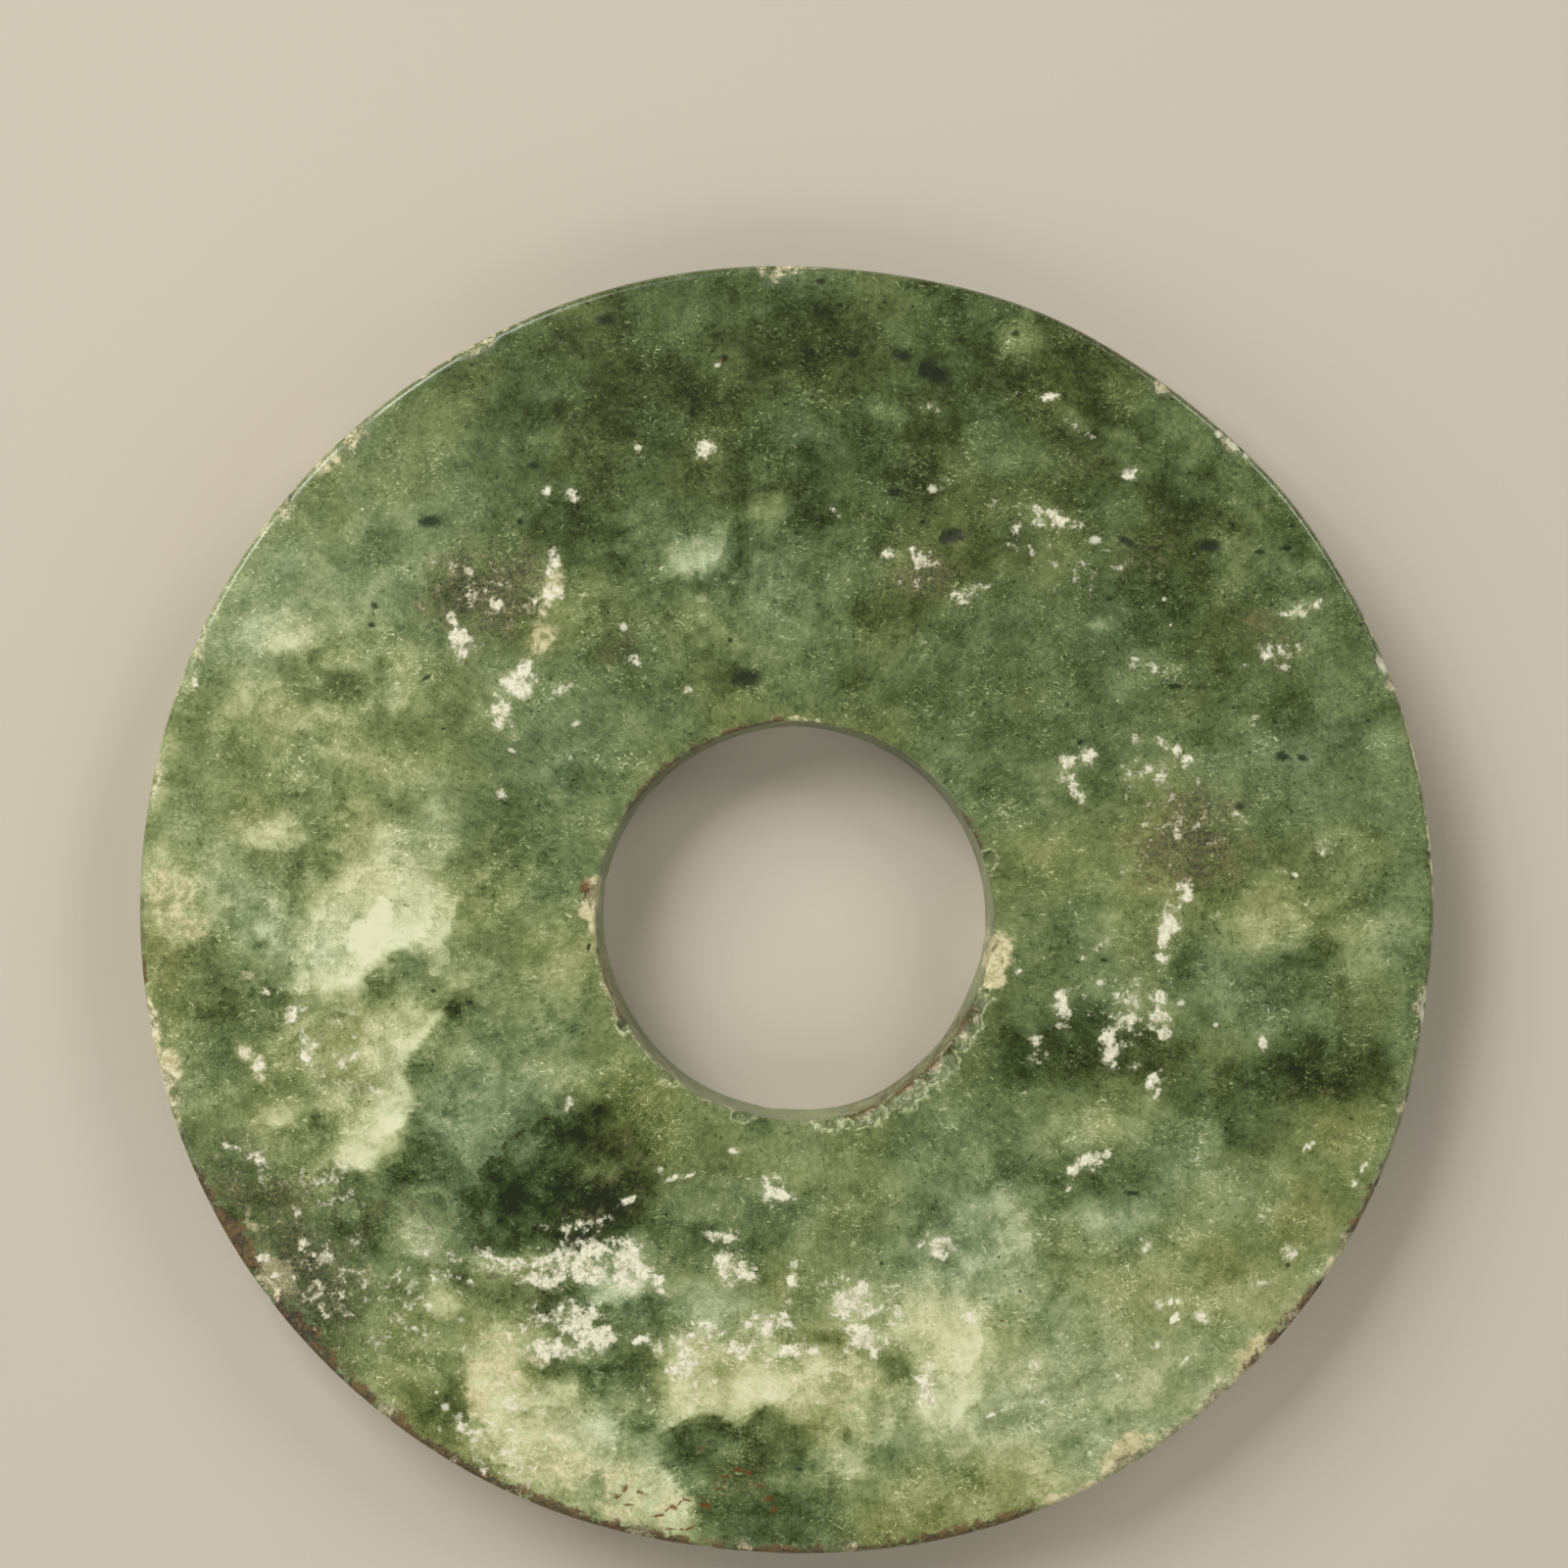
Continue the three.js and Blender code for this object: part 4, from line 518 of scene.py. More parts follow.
def ring_tree(material):
    """The plain ring: eight strips round its section, each a grid bent round the axis."""
    tree = bpy.data.node_groups.new("ground_ring", "GeometryNodeTree")
    given = {}
    for name, kind, value in (
        ("Outer Radius", "Float", OUTER_RADIUS * MM),
        ("Thickness", "Float", THICKNESS * MM),
        ("Rim Round In", "Float", RIM_ROUND_IN * MM),
        ("Rim Round Down", "Float", RIM_ROUND_DOWN * MM),
        ("Bore Mouth Radius", "Float", BORE_MOUTH_RADIUS * MM),
        ("Bore Exit Radius", "Float", BORE_EXIT_RADIUS * MM),
        ("Bore Round", "Float", BORE_ROUND * MM),
        ("Columns", "Int", COLUMNS),
        ("Face Rows", "Int", FACE_ROWS),
        ("Under Rows", "Int", UNDER_ROWS),
        ("Rim Rows", "Int", RIM_ROWS),
        ("Bore Rows", "Int", BORE_ROWS),
        ("Round Rows", "Int", ROUND_ROWS),
    ):
        socket = tree.interface.new_socket(name, in_out="INPUT", socket_type="NodeSocket" + kind)
        given[socket.identifier] = value
    tree.interface.new_socket("Ring", in_out="OUTPUT", socket_type="NodeSocketGeometry")
    size = node(tree, "NodeGroupInput")

    calc = "ShaderNodeMath"
    top = size["Thickness"]
    rim = size["Outer Radius"]
    rim_in = node(tree, calc, {0: rim, 1: size["Rim Round In"]}, operation="SUBTRACT")[0]
    rim_top = node(tree, calc, {0: top, 1: size["Rim Round Down"]}, operation="SUBTRACT")[0]
    mouth = size["Bore Mouth Radius"]
    mouth_out = node(tree, calc, {0: mouth, 1: size["Bore Round"]}, operation="ADD")[0]
    mouth_top = node(tree, calc, {0: top, 1: size["Bore Round"]}, operation="SUBTRACT")[0]
    exit_in = size["Bore Exit Radius"]
    exit_out = node(tree, calc, {0: exit_in, 1: size["Bore Round"]}, operation="ADD")[0]

    # Flat strips run between two corners of the section, round ones a quarter turn about a point.
    flat_strips = [
        (rim_in, top, mouth_out, top, "Face Rows"),
        (mouth, mouth_top, exit_in, size["Bore Round"], "Bore Rows"),
        (exit_out, 0.0, rim_in, 0.0, "Under Rows"),
        (rim, size["Rim Round Down"], rim, rim_top, "Rim Rows"),
    ]
    round_strips = [
        (rim_in, rim_top, size["Rim Round In"], size["Rim Round Down"], 0),
        (mouth_out, mouth_top, size["Bore Round"], size["Bore Round"], 90),
        (exit_out, size["Bore Round"], size["Bore Round"], size["Bore Round"], 180),
        (rim_in, size["Rim Round Down"], size["Rim Round In"], size["Rim Round Down"], 270),
    ]
    joined = tree.nodes.new("GeometryNodeJoinGeometry")
    for strip in flat_strips + round_strips:
        flat = strip in flat_strips
        rows = size[strip[4]] if flat else size["Round Rows"]
        across = node(tree, calc, {0: size["Columns"], 1: 1}, operation="ADD")[0]
        down = node(tree, calc, {0: rows, 1: 1}, operation="ADD")[0]
        grid = node(
            tree,
            "GeometryNodeMeshGrid",
            {"Size X": 1.0, "Size Y": 1.0, "Vertices X": across, "Vertices Y": down},
        )
        place = node(tree, "ShaderNodeSeparateXYZ", {0: node(tree, "GeometryNodeInputPosition")[0]})
        share = node(tree, calc, {0: place["X"], 1: 0.5}, operation="ADD")[0]
        turn = node(tree, calc, {0: share, 1: math.tau}, operation="MULTIPLY")[0]
        along = node(tree, calc, {0: place["Y"], 1: 0.5}, operation="ADD")[0]
        if flat:
            # Rows draw together towards both ends, where the edges need them.
            sweep = node(tree, calc, {0: along, 1: math.tau}, operation="MULTIPLY")[0]
            wave = node(tree, calc, {0: sweep}, operation="SINE")[0]
            eased = node(
                tree, calc, {0: wave, 1: -ROW_EASE / math.tau, 2: along}, operation="MULTIPLY_ADD"
            )[0]
            span = node(tree, calc, {0: strip[2], 1: strip[0]}, operation="SUBTRACT")[0]
            rise = node(tree, calc, {0: strip[3], 1: strip[1]}, operation="SUBTRACT")[0]
            radius = node(tree, calc, {0: span, 1: eased, 2: strip[0]}, operation="MULTIPLY_ADD")[0]
            height = node(tree, calc, {0: rise, 1: eased, 2: strip[1]}, operation="MULTIPLY_ADD")[0]
        else:
            swing = node(
                tree, calc, {0: along, 1: math.pi / 2, 2: math.radians(strip[4])}, operation="MULTIPLY_ADD"
            )[0]
            out = node(tree, calc, {0: swing}, operation="COSINE")[0]
            up = node(tree, calc, {0: swing}, operation="SINE")[0]
            radius = node(tree, calc, {0: out, 1: strip[2], 2: strip[0]}, operation="MULTIPLY_ADD")[0]
            height = node(tree, calc, {0: up, 1: strip[3], 2: strip[1]}, operation="MULTIPLY_ADD")[0]
        cosine = node(tree, calc, {0: turn}, operation="COSINE")[0]
        sine = node(tree, calc, {0: turn}, operation="SINE")[0]
        east = node(tree, calc, {0: radius, 1: cosine}, operation="MULTIPLY")[0]
        north = node(tree, calc, {0: radius, 1: sine}, operation="MULTIPLY")[0]
        bent = node(tree, "ShaderNodeCombineXYZ", {"X": east, "Y": north, "Z": height})[0]
        moved = node(tree, "GeometryNodeSetPosition", {"Geometry": grid["Mesh"], "Position": bent})
        tree.links.new(moved[0], joined.inputs[0])
    closed = node(tree, "GeometryNodeMergeByDistance", {"Geometry": joined.outputs[0], "Distance": 1e-6})
    smooth = node(tree, "GeometryNodeSetShadeSmooth", {"Geometry": closed[0]})
    real = node(tree, "GeometryNodeRealizeInstances", {"Geometry": smooth[0]})
    dressed = node(tree, "GeometryNodeSetMaterial", {"Geometry": real[0], "Material": material})
    node(tree, "NodeGroupOutput", {"Ring": dressed[0]})
    return tree, given


nephrite = bpy.data.materials.new("weathered_nephrite")
nephrite.use_nodes = True
tree, given = ring_tree(nephrite)
blank = bpy.data.objects.new("ring_blank", bpy.data.meshes.new("ring_blank"))
bpy.context.scene.collection.objects.link(blank)
grinding = blank.modifiers.new("ground ring", "NODES")
grinding.node_group = tree
for identifier, value in given.items():
    grinding[identifier] = value
bpy.context.view_layer.update()
ring_mesh = bpy.data.meshes.new_from_object(blank.evaluated_get(bpy.context.evaluated_depsgraph_get()))
ring_mesh.name = "jade_ring"
bpy.data.objects.remove(blank)
ring = bpy.data.objects.new("jade_ring", ring_mesh)
bpy.context.scene.collection.objects.link(ring)


def short_way(turn):
    """The same turn in degrees, taken the short way round."""
    return (turn + 180) % 360 - 180


def wave_height(waves, degrees):
    """Flats and swells of an edge at each angle."""
    height = np.zeros(len(degrees))
    for at, reach, by in waves:
        height += by * np.exp(-((short_way(degrees - at) / reach) ** 2))
    return height


def stirred(points, swirls):
    """Points moved about by seeded noise: each swirl has a size and a strength in mm."""
    moved = points.copy()
    for size, strength in swirls:
        for index, point in enumerate(points):
            drift = noise.noise_vector(Vector(point) / size)
            moved[index] += np.array(drift) * strength
    return moved


def own_frame(places, x, y, half_long, half_wide, turn=0):
    """Where each point lies in a patch's own frame, in half lengths and half widths."""
    cosine = math.cos(math.radians(turn))
    sine = math.sin(math.radians(turn))
    east = places[:, 0] - x
    north = places[:, 1] - y
    return (east * cosine + north * sine) / half_long, (north * cosine - east * sine) / half_wide


# A patch or stain falls off by this rate, so that it is at half its amount on its outline.
HALVING = 0.69


def patched(places, patches):
    """Soft patches over each other, where the strongest one counts."""
    field = np.zeros(len(places))
    for x, y, half_long, half_wide, amount, *turn in patches:
        along, across = own_frame(places, x, y, half_long, half_wide, *turn)
        field = np.maximum(field, amount * np.exp(-HALVING * (along**2 + across**2)))
    return field


# The noise that stirs the points takes its offsets from this seed, so each run is the same.
NOISE_SEED = 7
noise.seed_set(NOISE_SEED)
points = np.empty(len(ring_mesh.vertices) * 3)
ring_mesh.vertices.foreach_get("co", points)
points = points.reshape(-1, 3) / MM

# The plain ring takes the real one's outline and hole, and its shown face a slight hollow.
FACE_HOLLOW = 0.16
FACE_WAVE_SIZE = 34
degrees = np.degrees(np.arctan2(points[:, 1], points[:, 0])) % 360
outward = points[:, :2] / np.hypot(points[:, 0], points[:, 1])[:, None]
plain_bore = np.interp(points[:, 2], (0, THICKNESS), (BORE_EXIT_RADIUS, BORE_MOUTH_RADIUS))
to_rim = (np.hypot(points[:, 0], points[:, 1]) - plain_bore) / (OUTER_RADIUS - plain_bore)
to_rim = np.clip(to_rim, 0, 1)[:, None]
at_rim = wave_height(RIM_WAVES, degrees)[:, None] * outward
at_bore = wave_height(BORE_WAVES, degrees)[:, None] * outward + np.array(BORE_OFF)
points[:, :2] += at_rim * to_rim + at_bore * (1 - to_rim)
upper = np.clip(points[:, 2] / THICKNESS * 2 - 1, 0, 1)
for index, point in enumerate(points):
    sway = noise.noise(Vector((point[0], point[1], 0)) / FACE_WAVE_SIZE)
    points[index, 2] -= upper[index] * FACE_HOLLOW * (0.5 + 0.5 * sway)

# Each chip is a shallow egg that stands off the edge: what lies inside it moves out to its
# skin, which seeded noise makes ragged. Round a chip of the bore the stone is bruised pale.
CHIP_GROWN = 1 + CHIP_STAND_OFF
LENGTH_KEPT = math.sqrt(1 - 2 * (CHIP_STAND_OFF / CHIP_GROWN) ** 2)
CHIP_SWAY = 0.35
CHIP_SWIRLS = [(1.1, CHIP_SWAY), (0.35, 0.14)]
CHIP_LOOSENING = 2.5
SCAR_REACH = 1.5
scar = np.zeros(len(points))
bruise = np.zeros(len(points))
rough = stirred(points, CHIP_SWIRLS) - points
knap = rough[:, 0] / CHIP_SWAY
for face, up, plain_radius, middle, out, waves, chips in (
    (THICKNESS, 1, OUTER_RADIUS, (0, 0), 1, RIM_WAVES, RIM_CHIPS),
    (0, -1, OUTER_RADIUS, (0, 0), 1, RIM_WAVES, UNDER_RIM_CHIPS),
    (THICKNESS, 1, BORE_MOUTH_RADIUS, BORE_OFF, -1, BORE_WAVES, BORE_CHIPS),
    (0, -1, BORE_EXIT_RADIUS, BORE_OFF, -1, BORE_WAVES, UNDER_BORE_CHIPS),
):
    for at, along, into, down in chips:
        swell = float(wave_height(waves, np.array([at]))[0])
        ray = np.array((math.cos(math.radians(at)), math.sin(math.radians(at))))
        stand = ray * (plain_radius + swell + out * into * CHIP_STAND_OFF) + np.array(middle)
        centre = np.array((stand[0], stand[1], face + up * down * CHIP_STAND_OFF))
        inward, sideways = np.array((*ray, 0)), np.array((-ray[1], ray[0], 0))
        axes = np.array((inward, sideways, (0, 0, 1)))
        half = np.array((into * CHIP_GROWN, along / 2 / LENGTH_KEPT, down * CHIP_GROWN))
        local = (points - centre) @ axes.T / half
        depth = np.linalg.norm(local, axis=1) * (1 + CHIP_RAGGED * knap)
        inside = depth < 1
        skin = local[inside] / depth[inside][:, None] * half
        loose = rough[inside] * (1 - depth[inside])[:, None] * CHIP_LOOSENING
        points[inside] = centre + skin @ axes + loose
        scar = np.maximum(scar, np.clip(SCAR_REACH - depth, 0, 1) * (1 if out > 0 else BORE_SCAR_SHARE))
        if out < 0:
            bruise = np.maximum(bruise, np.exp(-(((depth - BRUISE_GAP) / BRUISE_WIDTH) ** 2)))
            bruise[depth < 1] = -BORE_SCAR_DARKENING / BRUISE_LIGHTENING

# The ring is set where the solid is.
solid_middle = np.array(((low.x + high.x) / 2, (low.y + high.y) / 2)) / MM
points[:, :2] -= (points[:, :2].max(axis=0) + points[:, :2].min(axis=0)) / 2
points[:, :2] += solid_middle

# What shows on the stone is worked out at each point of the mesh. Seeded noise drifts the
# clouds and frays the deposits. Heights are squeezed first, so down the walls it is drawn out.
WALL_SQUEEZE = 0.35
CLOUD_SWIRLS = [(8, 1.8), (3.2, 1.3), (1.3, 0.7)]
FRAY_SWIRLS = [(2.2, 0.5), (0.9, 0.3)]
flat_places = points * np.array((1, 1, WALL_SQUEEZE))
drifted = stirred(flat_places, CLOUD_SWIRLS)
frayed = stirred(flat_places, FRAY_SWIRLS)
lightness = np.full(len(points), float(STONE_LIGHTNESS))
for x, y, half_long, half_wide, target, cover, *turn in CLOUDS:
    along, across = own_frame(drifted, x, y, half_long, half_wide, *turn)
    share = cover * np.exp(-HALVING * (along**2 + across**2) ** 2)
    lightness += (target - lightness) * share

# A cloud's sharp end: pale on one side and dark on the other, and gone at the line's two ends.
EDGE_TAPER = 0.22
EDGE_FALL = 1.2
PALE_SHARE = 0.7
DARK_SHARE = 0.45
DARK_TIGHTER = 1.3
for line, rise, fade in CLOUD_EDGES:
    corners = np.array(line, dtype=float)
    steps = corners[1:] - corners[:-1]
    lengths = np.linalg.norm(steps, axis=1)
    starts = np.concatenate(([0], np.cumsum(lengths)))
    nearest = np.full(len(points), np.inf)
    side = np.zeros(len(points))
    place = np.zeros(len(points))
    for corner, step, length, start in zip(corners[:-1], steps, lengths, starts[:-1]):
        away = frayed[:, :2] - corner
        travelled = np.clip(away @ step / length**2, 0, 1)
        gap = away - travelled[:, None] * step
        distance = np.linalg.norm(gap, axis=1)
        closer = distance < nearest
        nearest[closer] = distance[closer]
        side[closer] = np.sign(step[0] * away[:, 1] - step[1] * away[:, 0])[closer]
        place[closer] = (start + travelled[closer] * length) / starts[-1]
    taper = np.clip(np.minimum(place, 1 - place) / EDGE_TAPER, 0, 1)
    paler = np.exp(-((nearest / fade) ** EDGE_FALL)) * rise * PALE_SHARE
    darker = np.exp(-((nearest / fade * DARK_TIGHTER) ** EDGE_FALL)) * rise * DARK_SHARE
    lightness += np.where(side > 0, paler, -darker) * taper
tint = np.zeros(len(points))
for x, y, half_long, half_wide, amount, *turn in TINTS:
    along, across = own_frame(drifted, x, y, half_long, half_wide, *turn)
    tint += amount * np.exp(-HALVING * (along**2 + across**2))

# Deposits lie on both faces, fainter on the hidden one, which repeats them turned half round.
# They fade towards a bare belt at half height. Crust dusts the stone about it pale.
BARE_BELT = 1.2
BELT_FADE = 2.5
HIDDEN_SHARE = 0.75
CRUST_HALO = 24
HALO_GAIN = 1.4
HALO_START = 0.1
near_face = np.clip((np.abs(points[:, 2] - THICKNESS / 2) - BARE_BELT) / BELT_FADE, 0, 1)
shown = points[:, 2] > THICKNESS / 2
near_face *= np.where(shown, 1, HIDDEN_SHARE)
turned = frayed * np.where(shown, 1, -1)[:, None]
layered, crust, cream_and_highlight, earth = (
    patched(turned, patches) * near_face for patches in (LAYERED, CRUSTS, CREAM_STAINS, EARTH)
)
lightness += CRUST_HALO * np.clip(crust * HALO_GAIN - HALO_START, 0, 1)
lightness += BRUISE_LIGHTENING * bruise

# Stains along the edges, and a painted highlight along the right rim. Down the walls they wander, soften
# and thin:
# each height there has the share of a stain that is left.
WALL_SWIRLS = [(6, 5), (2.2, 2)]
WALL_DEPTH = 3
STAIN_LEFT = [(0, 0.6), (3, 0.5), (9, 0.7), (THICKNESS, 1)]
OVERRUN_DEGREES = 2
FADE_DEGREES = 3
WALL_FADE_DEGREES = 9
walled = stirred(points, WALL_SWIRLS)
sideways = short_way(np.degrees(np.arctan2(walled[:, 1], walled[:, 0])) - degrees)
below = np.clip((THICKNESS - points[:, 2]) / WALL_DEPTH, 0, 1)
wall_degrees = degrees + sideways * below
thinned = np.interp(points[:, 2], *zip(*STAIN_LEFT))
centred = frayed[:, :2] - solid_middle
from_rim = OUTER_RADIUS + wave_height(RIM_WAVES, degrees) - np.hypot(centred[:, 0], centred[:, 1])
from_bore = np.hypot(centred[:, 0] - BORE_OFF[0], centred[:, 1] - BORE_OFF[1]) - BORE_MOUTH_RADIUS
rim_soil = np.zeros(len(points))
for gap, bands, field in (
    (from_rim, RIM_EARTH, rim_soil),
    (from_rim, RIM_CREAM_AND_HIGHLIGHT, cream_and_highlight),
    (from_bore, BORE_EARTH, rim_soil),
    (from_bore, BORE_CREAM, cream_and_highlight),
):
    for first, last, width, amount in bands:
        reach = (last - first) / 2 + OVERRUN_DEGREES
        apart = np.abs(short_way(wall_degrees - (first + last) / 2))
        window = np.clip((reach - apart) / (FADE_DEGREES + WALL_FADE_DEGREES * below), 0, 1)
        strength = amount * window * np.exp(-HALVING * (np.maximum(gap, 0) / width) ** 2)
        np.maximum(field, strength * thinned, out=field)

# Handling has kept the upper rim shinier than the faces.
EDGE_SHINE = [(100, 172, 1.0), (-12, 62, 1.0), (62, 96, 0.5)]
SHINE_WIDTH = 1.1
SHINE_OVERRUN = 3
SHINE_FADE = 6
shine = np.zeros(len(points))
for first, last, amount in EDGE_SHINE:
    apart = np.abs(short_way(degrees - (first + last) / 2))
    window = np.clip(((last - first) / 2 + SHINE_OVERRUN - apart) / SHINE_FADE, 0, 1)
    shine = np.maximum(shine, amount * window * np.exp(-((from_rim / SHINE_WIDTH) ** 2)))

# A mark's own frame is stored at each point near the shown face, so that it stays sharp
# between them. Elsewhere the frame lies well outside any mark.
MARK_DEPTH = 1.5
OUTSIDE = 9.0
FARTHEST_GAP = 99
FARTHEST_NEXT = 9
MIDWAY = 0.38
MIDWAY_RISE = 60
mark = np.full((len(points), 3), OUTSIDE)
mark_kind = np.zeros(len(points))
mark_gap = np.full(len(points), np.inf)
next_gap = np.full(len(points), np.inf)
marked = points[:, 2] > THICKNESS - MARK_DEPTH
for kind, spots in MARKS.items():
    for x, y, half_long, half_wide, *turn in spots:
        along, across = own_frame(points, x, y, half_long, half_wide, *turn)
        gap = np.hypot(points[:, 0] - x, points[:, 1] - y)
        nearer = (gap < mark_gap) & marked
        next_gap = np.where(nearer, mark_gap, np.minimum(next_gap, gap))
        mark[nearer, 0] = along[nearer]
        mark[nearer, 1] = across[nearer]
        mark_kind[nearer] = kind
        mark_gap[nearer] = gap[nearer]
# Halfway to the next mark the third number grows, so that two frames never blend into one.
mark_gap = np.minimum(mark_gap, FARTHEST_GAP)
halfway = mark_gap / (mark_gap + np.minimum(next_gap, FARTHEST_NEXT))
mark[:, 2] = np.clip(halfway - MIDWAY, 0, 1) * MIDWAY_RISE
mark[~marked] = OUTSIDE

# Crust stands a little proud of the shown face, earth fills shallow wear, and nothing leaves
# the solid's height.
CRUST_RISE = 0.14
RISE_GAIN = 1.6
RISE_START = 0.5
WEAR_DEPTH = 0.08
FACE_BEVEL = 0.6
FACE_BEVEL_FADE = 0.4
face_only = np.clip((points[:, 2] - THICKNESS + FACE_BEVEL) / FACE_BEVEL_FADE, 0, 1)
raised = CRUST_RISE * np.clip(crust * RISE_GAIN - RISE_START, 0, 1)
points[:, 2] += face_only * (raised - WEAR_DEPTH * earth)
points[:, 2] = np.clip(points[:, 2], 0, THICKNESS)

ring_mesh.vertices.foreach_set("co", (points * MM).ravel())
for name, field in (
    ("lightness", (STONE_LIGHTNESS + (lightness - STONE_LIGHTNESS) * CLOUD_CONTRAST) / 255),
    ("tint", tint),
    ("crust", crust),
    ("cream_and_highlight", cream_and_highlight),
    ("earth", earth),
    ("scar", scar),
    ("shine", shine),
    ("layered", layered),
    ("rim_soil", rim_soil),
    ("mark_kind", mark_kind),
):
    ring_mesh.attributes.new(name, "FLOAT", "POINT").data.foreach_set("value", field.astype(np.float32))
own = ring_mesh.attributes.new("mark", "FLOAT_VECTOR", "POINT")
own.data.foreach_set("vector", mark.astype(np.float32).ravel())
ring_mesh.update()


def linear(hex_colour):
    """An sRGB hex colour as the linear colour that a shader takes."""
    parts = [int(hex_colour[at : at + 2], 16) / 255 for at in (1, 3, 5)]
    return [*(p / 12.92 if p <= 0.04045 else ((p + 0.055) / 1.055) ** 2.4 for p in parts), 1]


# Nephrite, sawn, ground and polished, then long buried: waxy and softly cloudy, with a
# sheen that breaks where chalky lime, cream stain and brown earth cover it.
COOL_GREENS = [
    (0.16, "#192304"), (0.26, "#354319"), (0.38, "#55663F"), (0.50, "#74855B"), (0.62, "#94A077"),
    (0.74, "#B6C097"), (0.85, "#CFD8AD"), (0.98, "#E2E6C0"),
]
OLIVE_GREENS = [
    (0.16, "#1C2003"), (0.26, "#394112"), (0.38, "#5A6432"), (0.50, "#798149"), (0.62, "#999F67"),
    (0.74, "#BABC88"), (0.85, "#D3D3A2"), (0.98, "#E5E4BC"),
]
MARK_COLOURS = [(INK, "#18200F"), (RUST, "#6C4010"), (LIME, "#DDDCC0")]

tree = nephrite.node_tree
tree.nodes.clear()
calc = "ShaderNodeMath"
attribute = "ShaderNodeAttribute"
grain = "ShaderNodeTexNoise"
object_place = node(tree, "ShaderNodeTexCoord")["Object"]
in_mm = node(tree, "ShaderNodeVectorMath", {0: object_place, "Scale": 1 / MM}, operation="SCALE")[0]
field = {
    name: node(tree, attribute, attribute_type="GEOMETRY", attribute_name=name)["Fac"]
    for name in (
        "lightness", "tint", "crust", "cream_and_highlight", "earth", "rim_soil", "scar", "shine", "layered", "mark_kind",
    )
}

# Clouding finer than the mesh carries, stronger where the clouds are layered: size in mm,
# octaves, how fast they fade and how far they sway the lightness.
STONE_CLOUDING = [(9, 1, 0.5, 0.28), (3.4, 5, 0.70, 0.64)]
EVEN_STIR = 0.8
LAYERED_STIR = 0.5
light = field["lightness"]
swung = {0: field["layered"], 1: LAYERED_STIR, 2: EVEN_STIR}
stir = node(tree, calc, swung, operation="MULTIPLY_ADD")[0]
for size_mm, detail, fading, sway in STONE_CLOUDING:
    cloud = node(
        tree, grain, {"Vector": in_mm, "Scale": 1 / size_mm, "Detail": detail, "Roughness": fading}
    )
    off = node(tree, calc, {0: cloud[0], 1: -0.5}, operation="ADD")[0]
    off = node(tree, calc, {0: off, 1: stir}, operation="MULTIPLY")[0]
    light = node(tree, calc, {0: off, 1: sway, 2: light}, operation="MULTIPLY_ADD")[0]

# Layered clouds: puffs that brighten slowly to the lower right and end sharply there.
BAND_SIZE = 9
BAND_RISE = 0.17
BAND_MIDDLE = 0.4
SHARP_END = 0.9
WANDER_SIZE = 6.5
WANDER = 3.0
downhill = (0.6 / BAND_SIZE, -0.8 / BAND_SIZE, 0)
slant = node(tree, "ShaderNodeVectorMath", {0: in_mm, 1: downhill}, operation="DOT_PRODUCT")["Value"]
wandering = {"Vector": in_mm, "Scale": 1 / WANDER_SIZE, "Detail": 3.5, "Roughness": 0.55}
wander = node(tree, grain, wandering)[0]
phase = node(tree, calc, {0: wander, 1: WANDER, 2: slant}, operation="MULTIPLY_ADD")[0]
band = node(tree, calc, {0: phase}, operation="FRACT")[0]
drop = node(tree, "ShaderNodeMapRange", {"Value": band, "From Min": 1.0, "From Max": SHARP_END})[0]
band = node(tree, calc, {0: band, 1: drop}, operation="MULTIPLY")[0]
band = node(tree, calc, {0: band, 1: -BAND_MIDDLE}, operation="ADD")[0]
rise = node(tree, calc, {0: band, 1: field["layered"]}, operation="MULTIPLY")[0]
light = node(tree, calc, {0: rise, 1: BAND_RISE, 2: light}, operation="MULTIPLY_ADD")[0]

# Fine felted fibre: short curled threads, paler than the stone and thicker in some places.
# Real fibre is finer, and is drawn as coarse as it needs to show: length and width in mm,
# lean in degrees, how much paler.
THREADS = [(0.8, 0.2, 50, 0.25), (0.6, 0.2, -35, 0.25), (0.28, 0.28, 0, 0.27)]
THREAD_PATCH_SIZE = 5
THREAD_PATCHINESS = 0.3
THREAD_FAINT = 0.825
THREAD_WHOLE = 0.94
CURL_SIZE = 0.9
CURL_SWAY = (1.1, 1.1, 1.1)
patchy = node(tree, grain, {"Vector": in_mm, "Scale": 1 / THREAD_PATCH_SIZE, "Detail": 2})[0]
curl = node(tree, grain, {"Vector": in_mm, "Scale": 1 / CURL_SIZE, "Detail": 0})["Color"]
curling = {0: curl, 1: CURL_SWAY, 2: in_mm}
curled = node(tree, "ShaderNodeVectorMath", curling, operation="MULTIPLY_ADD")[0]
for long_mm, wide_mm, lean, lift in THREADS:
    laid = node(
        tree,
        "ShaderNodeMapping",
        {"Vector": curled, "Rotation": (0, 0, math.radians(lean)), "Scale": (1 / long_mm, 1 / wide_mm, 1)},
    )[0]
    thread = node(tree, grain, {"Vector": laid, "Scale": 1.0, "Detail": 1})[0]
    thread = node(tree, calc, {0: patchy, 1: THREAD_PATCHINESS, 2: thread}, operation="MULTIPLY_ADD")[0]
    drawn = {"Value": thread, "From Min": THREAD_FAINT, "From Max": THREAD_WHOLE}
    thread = node(tree, "ShaderNodeMapRange", drawn)[0]
    light = node(tree, calc, {0: thread, 1: lift, 2: light}, operation="MULTIPLY_ADD")[0]

